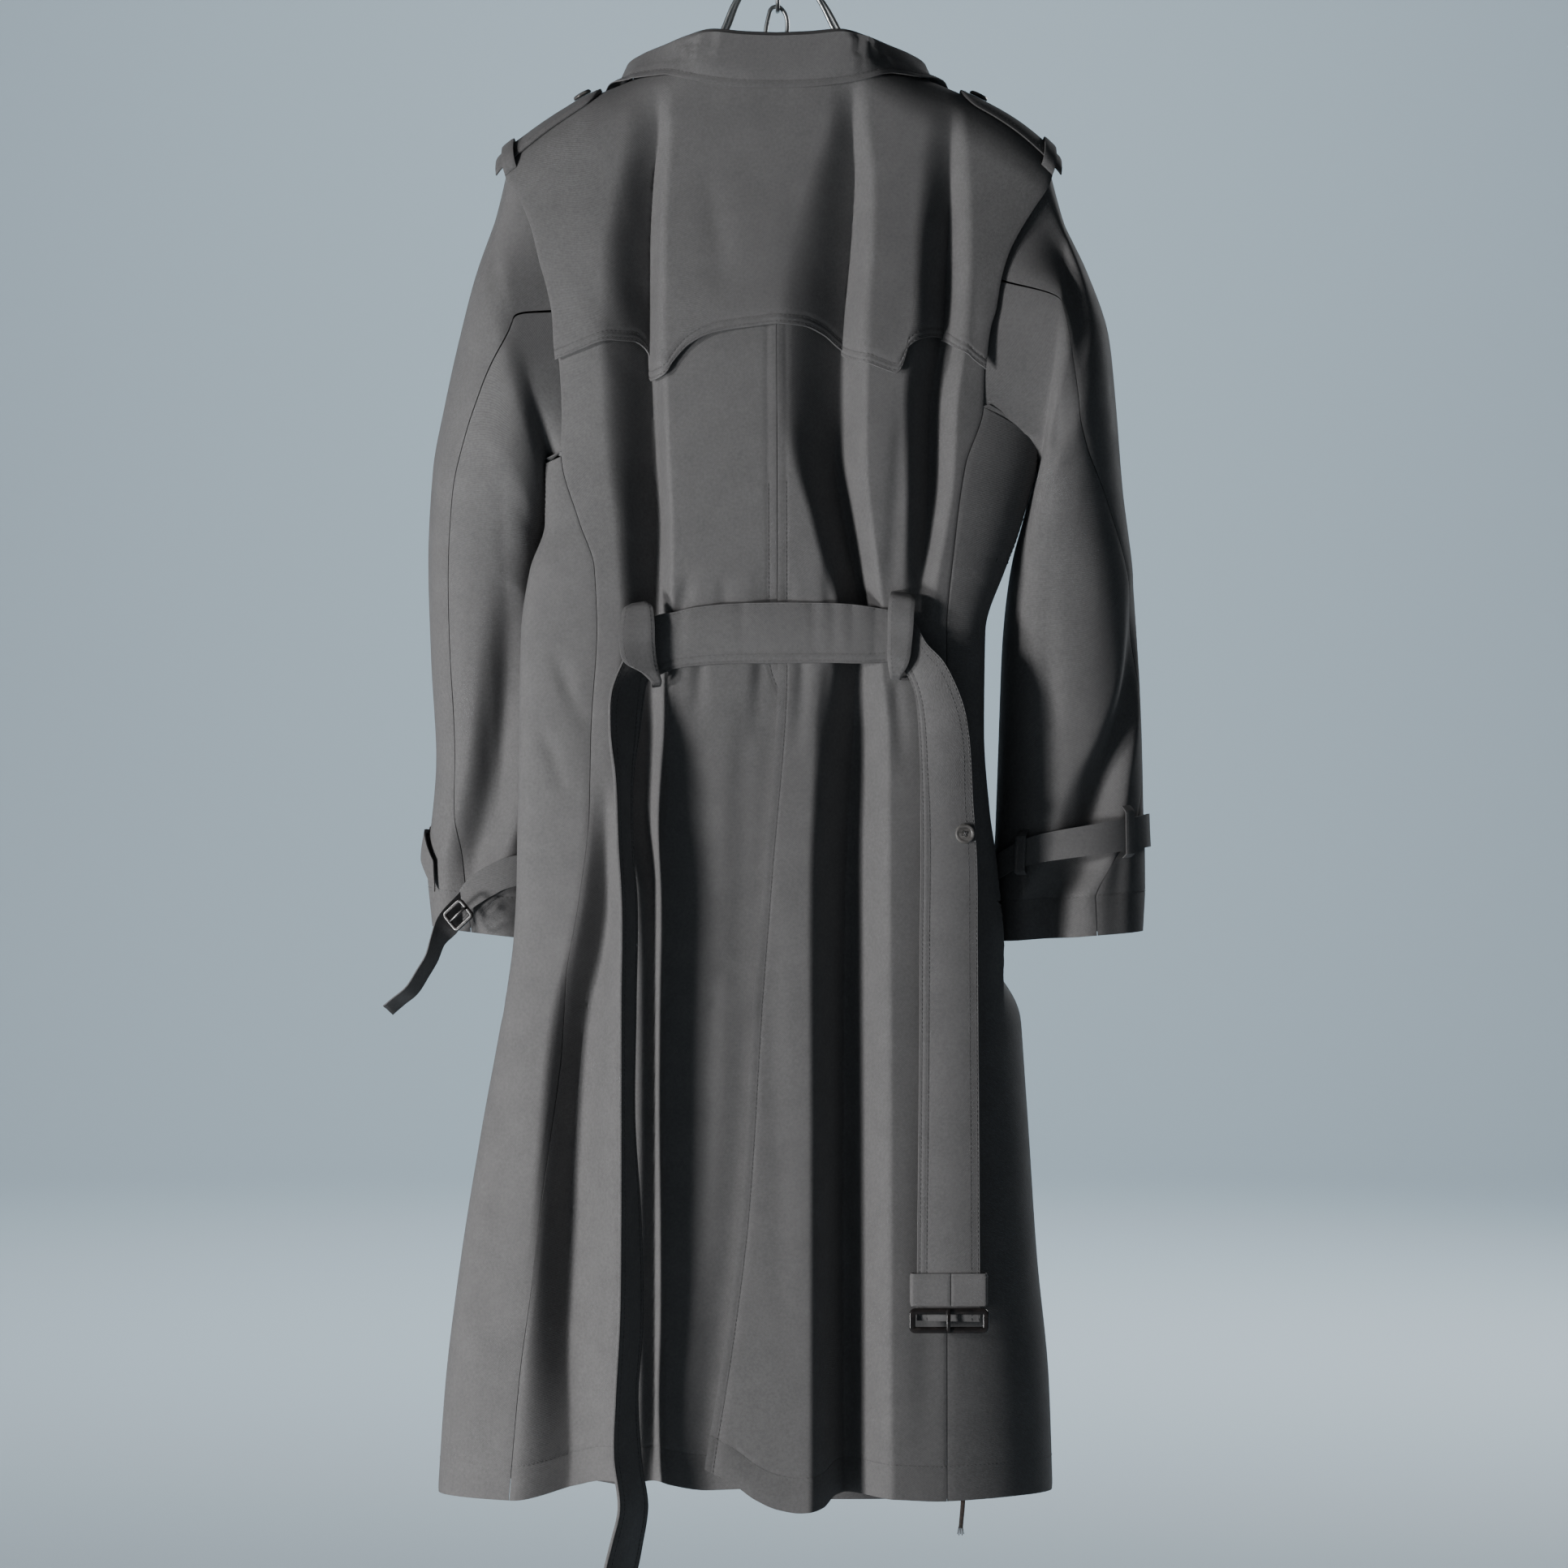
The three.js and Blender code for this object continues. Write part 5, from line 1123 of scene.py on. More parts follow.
# Stitches
THREAD_PROFILE = [(-0.5, 0.35, -0.5), (0.0, 1.0, 0.35), (0.5, 0.35, -0.5)]
THREAD_SIDES = 4


def stitch_mesh(name, runs, material, parent):
    """Short threads along runs, each an array of points with the way out of the cloth at each."""
    around = np.linspace(0, TAU, THREAD_SIDES, endpoint=False) + math.pi / 4
    points = []
    for track, ways in runs:
        at = running_length(track)
        count = int(at[-1] / STITCH_STEP)
        if count < 1:
            continue
        places = (np.arange(count) + 0.5) * at[-1] / count

        def along(place):
            return np.stack([np.interp(place, at, track[:, k]) for k in range(3)], axis=-1)

        for shift, radius, height in THREAD_PROFILE:
            place = places + shift * STITCH_LENGTH
            way = unit(np.stack([np.interp(place, at, ways[:, k]) for k in range(3)], axis=-1))
            side = unit(np.cross(along(place + 0.3) - along(place - 0.3), way))
            middle = along(place) + way * height * STITCH_RADIUS
            loop = np.cos(around)[None, :, None] * side[:, None]
            loop = loop + np.sin(around)[None, :, None] * way[:, None] * 0.8
            points.append(middle[:, None] + loop * STITCH_RADIUS * radius)
        rings = np.stack(points[-len(THREAD_PROFILE):], axis=1)
        points[-len(THREAD_PROFILE):] = [rings.reshape(-1, 3)]
    points = np.concatenate(points)
    sides = np.arange(THREAD_SIDES)
    after = (sides + 1) % THREAD_SIDES
    size = THREAD_SIDES * len(THREAD_PROFILE)
    faces = [sides[::-1], sides + size - THREAD_SIDES]
    for k in range(len(THREAD_PROFILE) - 1):
        low = k * THREAD_SIDES
        high = low + THREAD_SIDES
        faces.extend(np.stack([low + sides, low + after, high + after, high + sides], axis=1))
    starts = np.arange(len(points) // size) * size
    faces = (np.array(faces)[None] + starts[:, None, None]).reshape(-1, 4)
    piece = add_mesh(name, points, faces, material)
    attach(piece, "root")
    piece.parent = parent
    return piece


def inset_run(points, distance, edge, flip=False, lift=0.0, start=0.0, end=1.0):
    """A stitch run at a distance inside one edge of a grid: its top, bottom, first or last side."""
    normal = grid_normals(points, flip)
    outer = points + normal * np.asarray(lift, float)[..., None]
    if edge in ("first", "last"):
        outer = outer.transpose(1, 0, 2)
        normal = normal.transpose(1, 0, 2)
    if edge in ("bottom", "last"):
        outer = outer[:, ::-1]
        normal = normal[:, ::-1]
    at = lengths_in(outer)
    low = int(start * (len(outer) - 1))
    high = int(math.ceil(end * (len(outer) - 1))) + 1
    track = []
    ways = []
    for k in range(low, high):
        track.append([np.interp(distance, at[k], outer[k, :, c]) for c in range(3)])
        ways.append([np.interp(distance, at[k], normal[k, :, c]) for c in range(3)])
    return np.array(track), np.array(ways)


# Materials
def new_material(name):
    material = bpy.data.materials.new(name)
    material.use_nodes = True
    tree = material.node_tree
    shader = tree.nodes["Principled BSDF"]
    return material, tree, shader


def set_shader(shader, colour, roughness, metallic=0.0, sheen=0.0, sheen_roughness=0.5):
    shader.inputs["Base Color"].default_value = (*colour, 1)
    shader.inputs["Roughness"].default_value = roughness
    shader.inputs["Metallic"].default_value = metallic
    shader.inputs["Sheen Weight"].default_value = sheen
    shader.inputs["Sheen Roughness"].default_value = sheen_roughness


def noise(tree, source, scale, detail, roughness):
    node = tree.nodes.new("ShaderNodeTexNoise")
    node.inputs["Scale"].default_value = scale
    node.inputs["Detail"].default_value = detail
    node.inputs["Roughness"].default_value = roughness
    tree.links.new(source, node.inputs["Vector"])
    return node.outputs["Fac"]


def ramp(tree, source, stops):
    node = tree.nodes.new("ShaderNodeValToRGB")
    elements = node.color_ramp.elements
    elements[0].position, elements[0].color = stops[0][0], (*stops[0][1], 1)
    elements[1].position, elements[1].color = stops[-1][0], (*stops[-1][1], 1)
    for position, colour in stops[1:-1]:
        elements.new(position).color = (*colour, 1)
    tree.links.new(source, node.inputs["Fac"])
    return node.outputs["Color"]


def bump_node(tree, height, strength, distance, before=None):
    node = tree.nodes.new("ShaderNodeBump")
    node.inputs["Strength"].default_value = strength
    node.inputs["Distance"].default_value = distance
    tree.links.new(height, node.inputs["Height"])
    if before is not None:
        tree.links.new(before, node.inputs["Normal"])
    return node.outputs["Normal"]


def twill_material(name, dark, light, sheen=0.08):
    """Cotton twill: fine slanting ribs, a mottle of wear and slight slubs."""
    material, tree, shader = new_material(name)
    set_shader(shader, light, 0.82, sheen=sheen, sheen_roughness=0.45)
    shader.inputs["Sheen Tint"].default_value = (0.8, 0.8, 0.82, 1)
    shader.inputs["Specular IOR Level"].default_value = 0.25
    places = tree.nodes.new("ShaderNodeTexCoord")
    cloth_map = tree.nodes.new("ShaderNodeUVMap")
    cloth_map.uv_map = "cloth"
    turned = tree.nodes.new("ShaderNodeMapping")
    turned.inputs["Rotation"].default_value = (0, 0, math.radians(58))
    tree.links.new(cloth_map.outputs["UV"], turned.inputs["Vector"])
    ribs = tree.nodes.new("ShaderNodeTexWave")
    ribs.inputs["Scale"].default_value = 330
    ribs.inputs["Distortion"].default_value = 1.2
    ribs.inputs["Detail"].default_value = 1.5
    ribs.inputs["Detail Scale"].default_value = 1.4
    tree.links.new(turned.outputs["Vector"], ribs.inputs["Vector"])
    yarn = noise(tree, cloth_map.outputs["UV"], 900, 2.0, 0.6)
    mottle = noise(tree, places.outputs["Object"], 38, 5.0, 0.62)
    tone = ramp(tree, mottle, [(0.3, dark), (0.7, light)])
    grain = ramp(tree, noise(tree, places.outputs["Object"], 420, 2.0, 0.7), [
        (0.3, (0.8, 0.8, 0.8)), (0.72, (1.12, 1.12, 1.12)),
    ])
    tinted = tree.nodes.new("ShaderNodeMix")
    tinted.data_type = "RGBA"
    tinted.blend_type = "MULTIPLY"
    tinted.inputs[0].default_value = 0.75
    tree.links.new(tone, tinted.inputs[6])
    tree.links.new(grain, tinted.inputs[7])
    tree.links.new(tinted.outputs[2], shader.inputs["Base Color"])
    rough = ramp(tree, mottle, [(0.3, (0.86, 0.86, 0.86)), (0.7, (0.76, 0.76, 0.76))])
    tree.links.new(rough, shader.inputs["Roughness"])
    weave = bump_node(tree, ribs.outputs["Fac"], 0.45, 0.0002)
    slubs = bump_node(tree, yarn, 0.35, 0.0003, weave)
    slack = bump_node(tree, noise(tree, places.outputs["Object"], 55, 4.0, 0.55), 0.3, 0.0006, slubs)
    tree.links.new(slack, shader.inputs["Normal"])
    return material


def horn_material(name, dark, light, roughness):
    """Polished horn: soft dark clouds drawn out along one way."""
    material, tree, shader = new_material(name)
    set_shader(shader, light, roughness)
    places = tree.nodes.new("ShaderNodeTexCoord")
    drawn = tree.nodes.new("ShaderNodeMapping")
    drawn.inputs["Scale"].default_value = (1, 1, 3.5)
    tree.links.new(places.outputs["Object"], drawn.inputs["Vector"])
    clouds = noise(tree, drawn.outputs["Vector"], 120, 4.0, 0.6)
    tree.links.new(ramp(tree, clouds, [(0.35, dark), (0.7, light)]), shader.inputs["Base Color"])
    fine = bump_node(tree, noise(tree, drawn.outputs["Vector"], 900, 2.0, 0.5), 0.15, 0.0002)
    tree.links.new(fine, shader.inputs["Normal"])
    return material


def steel_material(name):
    """Zinc-plated wire: pale metal with drawing marks and dull spots."""
    material, tree, shader = new_material(name)
    set_shader(shader, (0.52, 0.53, 0.52), 0.32, metallic=1.0)
    places = tree.nodes.new("ShaderNodeTexCoord")
    spots = noise(tree, places.outputs["Object"], 240, 5.0, 0.6)
    tree.links.new(
        ramp(tree, spots, [(0.3, (0.3, 0.31, 0.31)), (0.65, (0.6, 0.61, 0.6))]),
        shader.inputs["Base Color"],
    )
    tree.links.new(
        ramp(tree, spots, [(0.3, (0.5, 0.5, 0.5)), (0.7, (0.26, 0.26, 0.26))]),
        shader.inputs["Roughness"],
    )
    marks = bump_node(tree, noise(tree, places.outputs["Object"], 1300, 2.0, 0.5), 0.2, 0.0002)
    tree.links.new(marks, shader.inputs["Normal"])
    return material


TWILL = twill_material("twill", (0.111, 0.108, 0.108), (0.126, 0.122, 0.122))
THREAD = twill_material("thread", (0.1, 0.097, 0.097), (0.13, 0.126, 0.126), sheen=0.06)
HORN = horn_material("horn", (0.045, 0.042, 0.04), (0.15, 0.142, 0.135), 0.3)
BUCKLE = horn_material("buckle", (0.006, 0.005, 0.005), (0.02, 0.016, 0.015), 0.22)
TIE = horn_material("tie", (0.012, 0.008, 0.007), (0.04, 0.026, 0.02), 0.7)
STEEL = steel_material("steel")

# Panels
STEP = 4.2


def count_for(length):
    """How many steps of a grid go along a length."""
    return max(4, round(length / STEP))


# How far inside their edges the stitches run
HEM_STITCH = 28
CUFF_HEM_STITCH = 33
MIDDLE_STITCH = 7.0
YOKE_STITCHES = (2.2, 7.6)
COLLAR_STITCH = 5.2
BELT_STITCHES = (1.9, 7.4)
LOOP_STITCH = 3.2
KEEPER_STITCH = 2.6
EPAULETTE_STITCH = 4.6
CUFF_STRAP_STITCH = 3.4
back_grids = {}
panels = {}
for side in SIDES:
    share = np.linspace(0, 1, count_for(400))[:, None]
    rows = panel_rows(STEP)[None, :]
    grid = back_point(side, share, rows)
    back_grids[side] = grid
    wall, sunk = grooved(grid, 0.0, "bottom", (HEM_STITCH,))
    wall, sunk = grooved(wall, sunk, "last" if side == "left" else "first", (MIDDLE_STITCH,))
    piece = cloth_wall("back_" + side, wall, TWILL, lift=sunk)
    panels["back_" + side] = piece
    declare_sheet(piece, grid)

yoke_points, yoke_lift = yoke_grid(count_for(420), count_for(300))
wall, sunk = grooved(yoke_points, yoke_lift, "bottom", YOKE_STITCHES, DEEP_GROOVE)
yoke = cloth_wall("back_yoke", wall, TWILL, lift=sunk)
declare_sheet(yoke, yoke_points)

front_grids = {}
for side in SIDES:
    lengths = [(0, ARM_COLUMN, 320), (ARM_COLUMN, FRONT_COLUMNS, 300)]
    columns = [np.linspace(a, b, count_for(n), endpoint=False) for a, b, n in lengths]
    columns = np.concatenate([*columns, [FRONT_COLUMNS]])[:, None]
    rows = panel_rows(STEP)[None, :]
    keep = (columns[:-1] < ARM_COLUMN - 1e-6) | (rows[:, :-1] >= ARMPIT_ROW - 1e-6)
    grid = front_point(side, columns, rows)
    front_grids[side] = grid
    piece = cloth_wall("front_" + side, grid, TWILL, flip=side == "right", keep=keep)
    panels["front_" + side] = piece
    declare_sheet(piece, grid, keep)
    s = np.linspace(0, 1, count_for(260))[:, None]
    t = np.linspace(0, 1, count_for(140))[None, :]
    grid = lapel_point(side, s, t)
    piece = cloth_wall("lapel_" + side, grid, TWILL, flip=side == "left")
    declare_sheet(piece, grid)

# Collar: the stand rises from the neck seam, where its foot is turned in, and the leaf rolls over it.
FOOT_TUCK = 3.5
FOOT_DEPTH = 11
s = np.linspace(0, 1, count_for(560))
collar = collar_at(s)
behind = 1.2 + 5 * smooth_step((collar["share"] - 0.44) / 0.26)
drop = mix(8, 12, smooth_step((collar["share"] - 0.66) / 0.1))
stand_top = collar["roll"] - collar["out"] * behind[:, None] + collar["down"] * drop[:, None]
t = np.linspace(0, 1, 9)[None, :, None]
inwards = unit(np.array([COLLAR_MIDDLE, 6.0, 0.0]) - collar["seam"] * np.array([1.0, 1.0, 0.0]))
foot = collar["seam"] + inwards * FOOT_TUCK + np.array([0.0, 0.0, -FOOT_DEPTH])
grid = mix(collar["seam"][:, None], stand_top[:, None], t)
grid = np.concatenate([foot[:, None], grid], axis=1)
piece = cloth_wall("collar_stand", grid, TWILL, flip=True)
declare_sheet(piece, grid)

rolls = []
for turn in np.linspace(0, math.pi, 11):
    out = collar["out"] * (1.3 - 2.9 * math.cos(turn))
    rolls.append(collar["roll"] + out + collar["down"] * (3.0 - 2.9 * math.sin(turn)))
over = rolls[-1]
leaf = [mix(over, collar["edge"], k) for k in np.linspace(0, 1, 22)[1:]]
clearance = mix(7.0, 9.0, smooth_step((collar["share"] - 0.52) / 0.16))
leaf = [kept_off(points, clearance) for points in leaf]
fall_grid = np.stack(rolls + leaf, axis=1)
wall, sunk = grooved(fall_grid, 0.0, "bottom", (COLLAR_STITCH,), DEEP_GROOVE)
fall = cloth_wall("collar_fall", wall, TWILL, lift=sunk)
declare_sheet(fall, fall_grid)

# Sleeves
sleeve_grids = {}
for side in SIDES:
    for upper in (True, False):
        name = "sleeve_" + side + ("_upper" if upper else "_under")
        grid = sleeve_grid(side, upper, count_for(240), count_for(640))
        sleeve_grids[name] = grid
        wall, sunk = grooved(grid, 0.0, "bottom", (CUFF_HEM_STITCH,))
        piece = cloth_wall(name, wall, TWILL, flip=side == "left", lift=sunk)
        panels[name] = piece
        declare_sheet(piece, grid)

# Belt: the free end on the left, the stretch across the back and the end that carries the buckle.
# The first point of a pair is on the edge that is uppermost across the back.
BELT_LEFT = [
    [-134, -128, -1402, -128, -114, -1404], [-138, -141, -1384, -116, -99, -1388],
    [-135.6, -142, -1368, -111.8, -98, -1376], [-129.8, -142, -1344, -106.6, -98, -1351],
    [-124, -142, -1319, -102.7, -98, -1325], [-128.5, -142, -1277, -107.2, -98, -1290],
    [-127.2, -141, -1231, -110.5, -97, -1237], [-124, -141, -1173, -106.6, -96.5, -1178],
    [-122.9, -140, -1090, -108, -96, -1095], [-122.7, -139, -1012, -113.1, -95, -1015],
    [-122.7, -138, -920, -112.3, -93, -922], [-122.7, -136, -831, -111.8, -92, -832],
    [-125, -133, -795, -114.5, -90, -800], [-127.9, -128, -737, -114.4, -88, -737],
    [-132.4, -121, -700, -110, -86, -705], [-131.5, -108, -668, -107, -84, -680],
    [-122.7, -94, -644, -104.5, -83, -664], [-112, -84.5, -622, -100, -81.5, -658],
    [-99, -81.5, -609, -94, -81, -656],
]
BELT_RIGHT = [
    [100, -79.5, -605, 97, -79.5, -648], [111, -81, -615, 104, -80, -656],
    [119.5, -84, -630, 109, -81, -667], [132.6, -87, -644, 111.5, -82, -680],
    [144, -88, -665, 113, -83, -697], [150.5, -87.5, -683, 114, -84, -715],
    [154.2, -86, -703, 114.8, -85, -737], [158, -84, -760, 115, -86, -770],
    [160.7, -84, -800, 115.2, -86.5, -800], [161.5, -85, -870, 114.5, -87, -870],
    [162, -86.5, -960, 114, -88, -960], [162.5, -89.5, -1050, 113, -90.5, -1050],
    [162.7, -92, -1120, 112.2, -92.5, -1120], [163, -92.5, -1158, 112, -92.5, -1156],
    [163, -92.5, -1176, 112, -92.5, -1175],
]
belt_across = Curve(["x", "top", "bottom"], [
    [-90, -608, -653], [-78, -603.4, -650.5], [-55, -600, -648], [-27, -598, -647],
    [9, -597.5, -646.8], [42, -598, -646.5], [65, -599.5, -647], [88, -603.4, -646],
])


def belt_grid():
    x = np.arange(-84, 90.1, 14.5)
    heights = belt_across(x)
    out = LIE_GAP + STRAP + 1.4
    top = body_point(body_angle(x, heights["top"], "back"), heights["top"], out, False)
    low = body_point(body_angle(x, heights["bottom"], "back"), heights["bottom"], out, False)
    pairs = [*BELT_LEFT, *np.concatenate([top, low], axis=1).tolist(), *BELT_RIGHT]
    return strap_grid(pairs, 520, 14)


grid = belt_grid()
belt_lift = round_edges(grid, 0.7) - crease_depth(BELT_CREASES, grid[..., 0], grid[..., 2])
wall, sunk = grooved(grid, belt_lift, "top", BELT_STITCHES)
wall, sunk = grooved(wall, sunk, "bottom", BELT_STITCHES)
belt = cloth_wall("belt", wall, TWILL, thick=STRAP, lift=sunk)
declare_sheet(belt, grid)
belt_stitches = [
    inset_run(grid, distance, edge, lift=belt_lift)
    for edge in ("top", "bottom")
    for distance in BELT_STITCHES
]
back_face = [
    inset_run(grid - grid_normals(grid, False) * STRAP, distance, edge, flip=True)
    for edge in ("top", "bottom")
    for distance in BELT_STITCHES
]
stitch_mesh("belt_stitches", belt_stitches + back_face, THREAD, belt)

# Belt loops and the keeper
LOOP_LEFT = [
    [-118, -79, -598, -106, -79, -596], [-124, -86, -602, -101, -86, -600],
    [-126, -92, -612, -99, -90, -611], [-126.5, -97, -632, -98, -91, -634],
    [-122, -98, -647, -96, -90, -650], [-108, -92, -656, -94, -88, -657],
    [-101.5, -86, -663, -93, -85, -662], [-101, -78, -667, -94, -78, -666],
]
LOOP_RIGHT = [
    [92, -75.8, -588, 111, -75.2, -591], [90.5, -84, -592, 111, -84, -595],
    [89, -87, -602, 110, -88, -604], [88.5, -87, -626, 108.5, -88, -626],
    [88.5, -87, -646, 105, -88, -648], [90, -84, -656, 100.5, -84, -657],
    [91, -75.8, -660, 99.5, -75.8, -661],
]
for side, pairs in (("left", LOOP_LEFT), ("right", LOOP_RIGHT)):
    grid = strap_grid(pairs, 60, 8)
    lift = round_edges(grid, 0.4)
    loop = cloth_wall("belt_loop_" + side, grid, TWILL, thick=2, flip=True, lift=lift)
    declare_sheet(loop, grid)
    runs = [inset_run(grid, LOOP_STITCH, edge, True, lift, 0.08, 0.92) for edge in ("top", "bottom")]
    stitch_mesh("belt_loop_stitches_" + side, runs, THREAD, loop)

KEEPER = {"left": 106.4, "right": 168.8, "front": -95.3, "back": -85.4, "joint": 139}
KEEPER_TOP = -1137
KEEPER_BOTTOM = -1163


def keeper_grid():
    left, right = KEEPER["left"], KEEPER["right"]
    front, back = KEEPER["front"], KEEPER["back"]
    corner = 3.0
    path = [[x, front] for x in np.linspace(KEEPER["joint"] - 0.3, left + 6, 16)]
    corners = [
        (left + corner, front + corner, 270, 180), (left + corner, back - corner, 180, 90),
        (right - corner, back - corner, 90, 0), (right - corner, front + corner, 0, -90),
    ]
    for cx, cy, start, end in corners:
        for turn in np.radians(np.linspace(start, end, 7)):
            path.append([cx + corner * math.cos(turn), cy + corner * math.sin(turn)])
    path.extend([[x, front] for x in np.linspace(right - 6, KEEPER["joint"] + 0.3, 16)])
    path = np.array(path)
    z = np.linspace(KEEPER_TOP, KEEPER_BOTTOM, 11)
    return stack(path[:, 0][:, None], path[:, 1][:, None], z[None, :])


grid = keeper_grid()
keeper = cloth_wall("belt_keeper", grid, TWILL, thick=2.2, flip=True)
declare_sheet(keeper, grid)
runs = [inset_run(grid, KEEPER_STITCH, edge, True) for edge in ("top", "bottom")]
stitch_mesh("belt_keeper_stitches", runs, THREAD, keeper)


# Hard pieces
def basis(along, out):
    """A frame on a surface: its x runs along, its z out of the surface."""
    z = unit(np.asarray(out, float))
    x = np.asarray(along, float)
    x = unit(x - (x @ z) * z)
    return x, np.cross(z, x), z


# The corners of a rectangle: the side each is on and the angle at which its round starts
CORNERS = [(1, 1, 0), (-1, 1, 90), (-1, -1, 180), (1, -1, 270)]


def ring_section(width, depth, bevel):
    """A rounded rectangle's outline, centred across and standing on its depth's start."""
    points = []
    for sx, sy, start in CORNERS:
        for turn in np.radians(np.linspace(start, start + 90, 5)):
            x = sx * (width / 2 - bevel) + bevel * math.cos(turn)
            y = sy * (depth / 2 - bevel) + bevel * math.sin(turn)
            points.append([x, y + depth / 2])
    return np.array(points)


def loft(name, rings, material, closed):
    """A surface through rings of points, each ring closed on itself."""
    count, sides = rings.shape[:2]
    k = np.arange(count if closed else count - 1)[:, None]
    n = np.arange(sides)[None, :]
    ahead = (k + 1) % count
    after = (n + 1) % sides
    faces = np.stack(
        [k * sides + n, k * sides + after, ahead * sides + after, ahead * sides + n], axis=-1
    ).reshape(-1, 4).tolist()
    if not closed:
        faces.append(list(range(sides))[::-1])
        faces.append(list(range((count - 1) * sides, count * sides)))
    return add_mesh(name, rings.reshape(-1, 3), faces, material)


def frame_piece(name, width, height, bar, depth, origin, along, out):
    """A flat frame with rounded corners and a bevelled bar all round."""
    x, y, z = basis(along, out)
    section = ring_section(bar, depth, min(bar, depth) * 0.3)
    half_w = (width - bar) / 2
    half_h = (height - bar) / 2
    corner = 2.4
    rings = []
    for sx, sy, start in CORNERS:
        for turn in np.radians(np.linspace(start, start + 90, 7)):
            way = math.cos(turn) * x + math.sin(turn) * y
            place = sx * (half_w - corner) * x + sy * (half_h - corner) * y + corner * way
            rings.append(origin + place + section[:, :1] * way + section[:, 1:] * z)
    piece = loft(name, np.array(rings), BUCKLE, True)
    return finish_piece(piece, name)


def prong_piece(name, start, end, width, depth, out):
    """A flat tongue with rounded edges, narrowing to its point."""
    start = np.asarray(start, float)
    end = np.asarray(end, float)
    _, y, z = basis(end - start, out)
    section = ring_section(width, depth, depth * 0.4)
    section[:, 1] -= depth / 2
    rings = []
    for t, size in ((0, 0.7), (0.03, 1), (0.6, 1), (0.88, 0.85), (0.97, 0.6), (1, 0.3)):
        rings.append(mix(start, end, t) + size * (section[:, :1] * y + section[:, 1:] * z))
    piece = loft(name, np.array(rings), BUCKLE, False)
    return finish_piece(piece, name)


# How far out a button's thread holes are, as a share of its radius. A thread goes from one hole to the
# one opposite: each pair is its place between them, from 1 to -1, and its rise.
HOLE_PLACE = 0.25
BUTTON_THREAD = [(1, -0.3), (1, 0.22), (0, 0.32), (-1, 0.22), (-1, -0.3)]


def button_piece(name, centre, out, radius, thick):
    """A round button with a raised rim, a dished middle and four thread holes."""
    x, y, z = basis((0.3, 0.1, 1) if abs(out[2]) < 0.9 else (1, 0, 0), out)
    rings = 26
    sides = 64
    r = np.linspace(0, 1, rings)[:, None] ** 0.9
    turn = np.linspace(0, TAU, sides, endpoint=False)[None, :]
    height = 0.5 - 0.16 * (1 - smooth_step((r - 0.62) / 0.14)) - 0.45 * smooth_step((r - 0.86) / 0.14) ** 2
    height = height + 0 * turn
    for hole in np.radians([45, 135, 225, 315]):
        hole_x = HOLE_PLACE * math.cos(hole)
        hole_y = HOLE_PLACE * math.sin(hole)
        away = np.hypot(r * np.cos(turn) - hole_x, r * np.sin(turn) - hole_y)
        height = height - 0.75 * (1 - smooth_step((away - 0.06) / 0.05))
    points = [centre + z * thick * height[0, 0]]
    for k in range(1, rings):
        for n in range(sides):
            place = r[k, 0] * radius * (math.cos(turn[0, n]) * x + math.sin(turn[0, n]) * y)
            points.append(centre + place + z * thick * height[k, n])
    faces = [[0, 1 + n, 1 + (n + 1) % sides] for n in range(sides)]
    for k in range(rings - 2):
        for n in range(sides):
            a = 1 + k * sides + n
            b = 1 + k * sides + (n + 1) % sides
            faces.append([a, a + sides, b + sides, b])
    last = 1 + (rings - 2) * sides
    low = len(points)
    for drop, size in ((-0.32, 1.0), (-0.5, 0.92)):
        for n in range(sides):
            place = radius * size * (math.cos(turn[0, n]) * x + math.sin(turn[0, n]) * y)
            points.append(centre + place + z * thick * drop)
    for base, under in ((last, low), (low, low + sides)):
        for n in range(sides):
            m = (n + 1) % sides
            faces.append([base + n, under + n, under + m, base + m])
    faces.append([low + sides + n for n in range(sides)][::-1])
    piece = add_mesh(name, points, faces, HORN)
    finish_piece(piece, name)
    for k, slant in enumerate(np.radians([45, 135])):
        reach = HOLE_PLACE * radius * (math.cos(slant) * x + math.sin(slant) * y)
        path = [centre + z * thick * (0.2 + rise) + reach * share for share, rise in BUTTON_THREAD]
        cord = tube_mesh(f"{name}_thread_{k + 1}", path, 0.45, THREAD, 16, 6)
        cord.parent = piece
    return piece


def tube_mesh(name, points, radius, material, count, sides, closed=False, radii=None):
    """A round tube along a smooth path through points, with a frame carried along it."""
    points = np.array(points, float)
    if closed:
        wrapped = np.concatenate([points[-3:], points, points[:4]])
        at = running_length(wrapped)
        share_low = at[3] / at[-1]
        share_high = at[3 + len(points)] / at[-1]
        dense = resample(wrapped, 4000)
        place = np.linspace(share_low, share_high, count, endpoint=False) * 3999
        path = dense[np.round(place).astype(int)]
    else:
        path = resample(points, count)
    following = np.roll(path, -1, axis=0) - np.roll(path, 1, axis=0)
    if not closed:
        following[0] = path[1] - path[0]
        following[-1] = path[-1] - path[-2]
    tangent = unit(following)
    side = unit(np.cross(tangent[0], (0.12, 0.91, 0.33)))
    around = np.linspace(0, TAU, sides, endpoint=False)
    rings = []
    for k, (middle, way) in enumerate(zip(path, tangent)):
        side = unit(side - (side @ way) * way)
        up = np.cross(way, side)
        size = radius if radii is None else np.interp(k / (count - 1), *radii)
        rings.append(middle + size * (np.cos(around)[:, None] * side + np.sin(around)[:, None] * up))
    piece = loft(name, np.array(rings), material, closed)
    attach(piece, "root")
    return piece


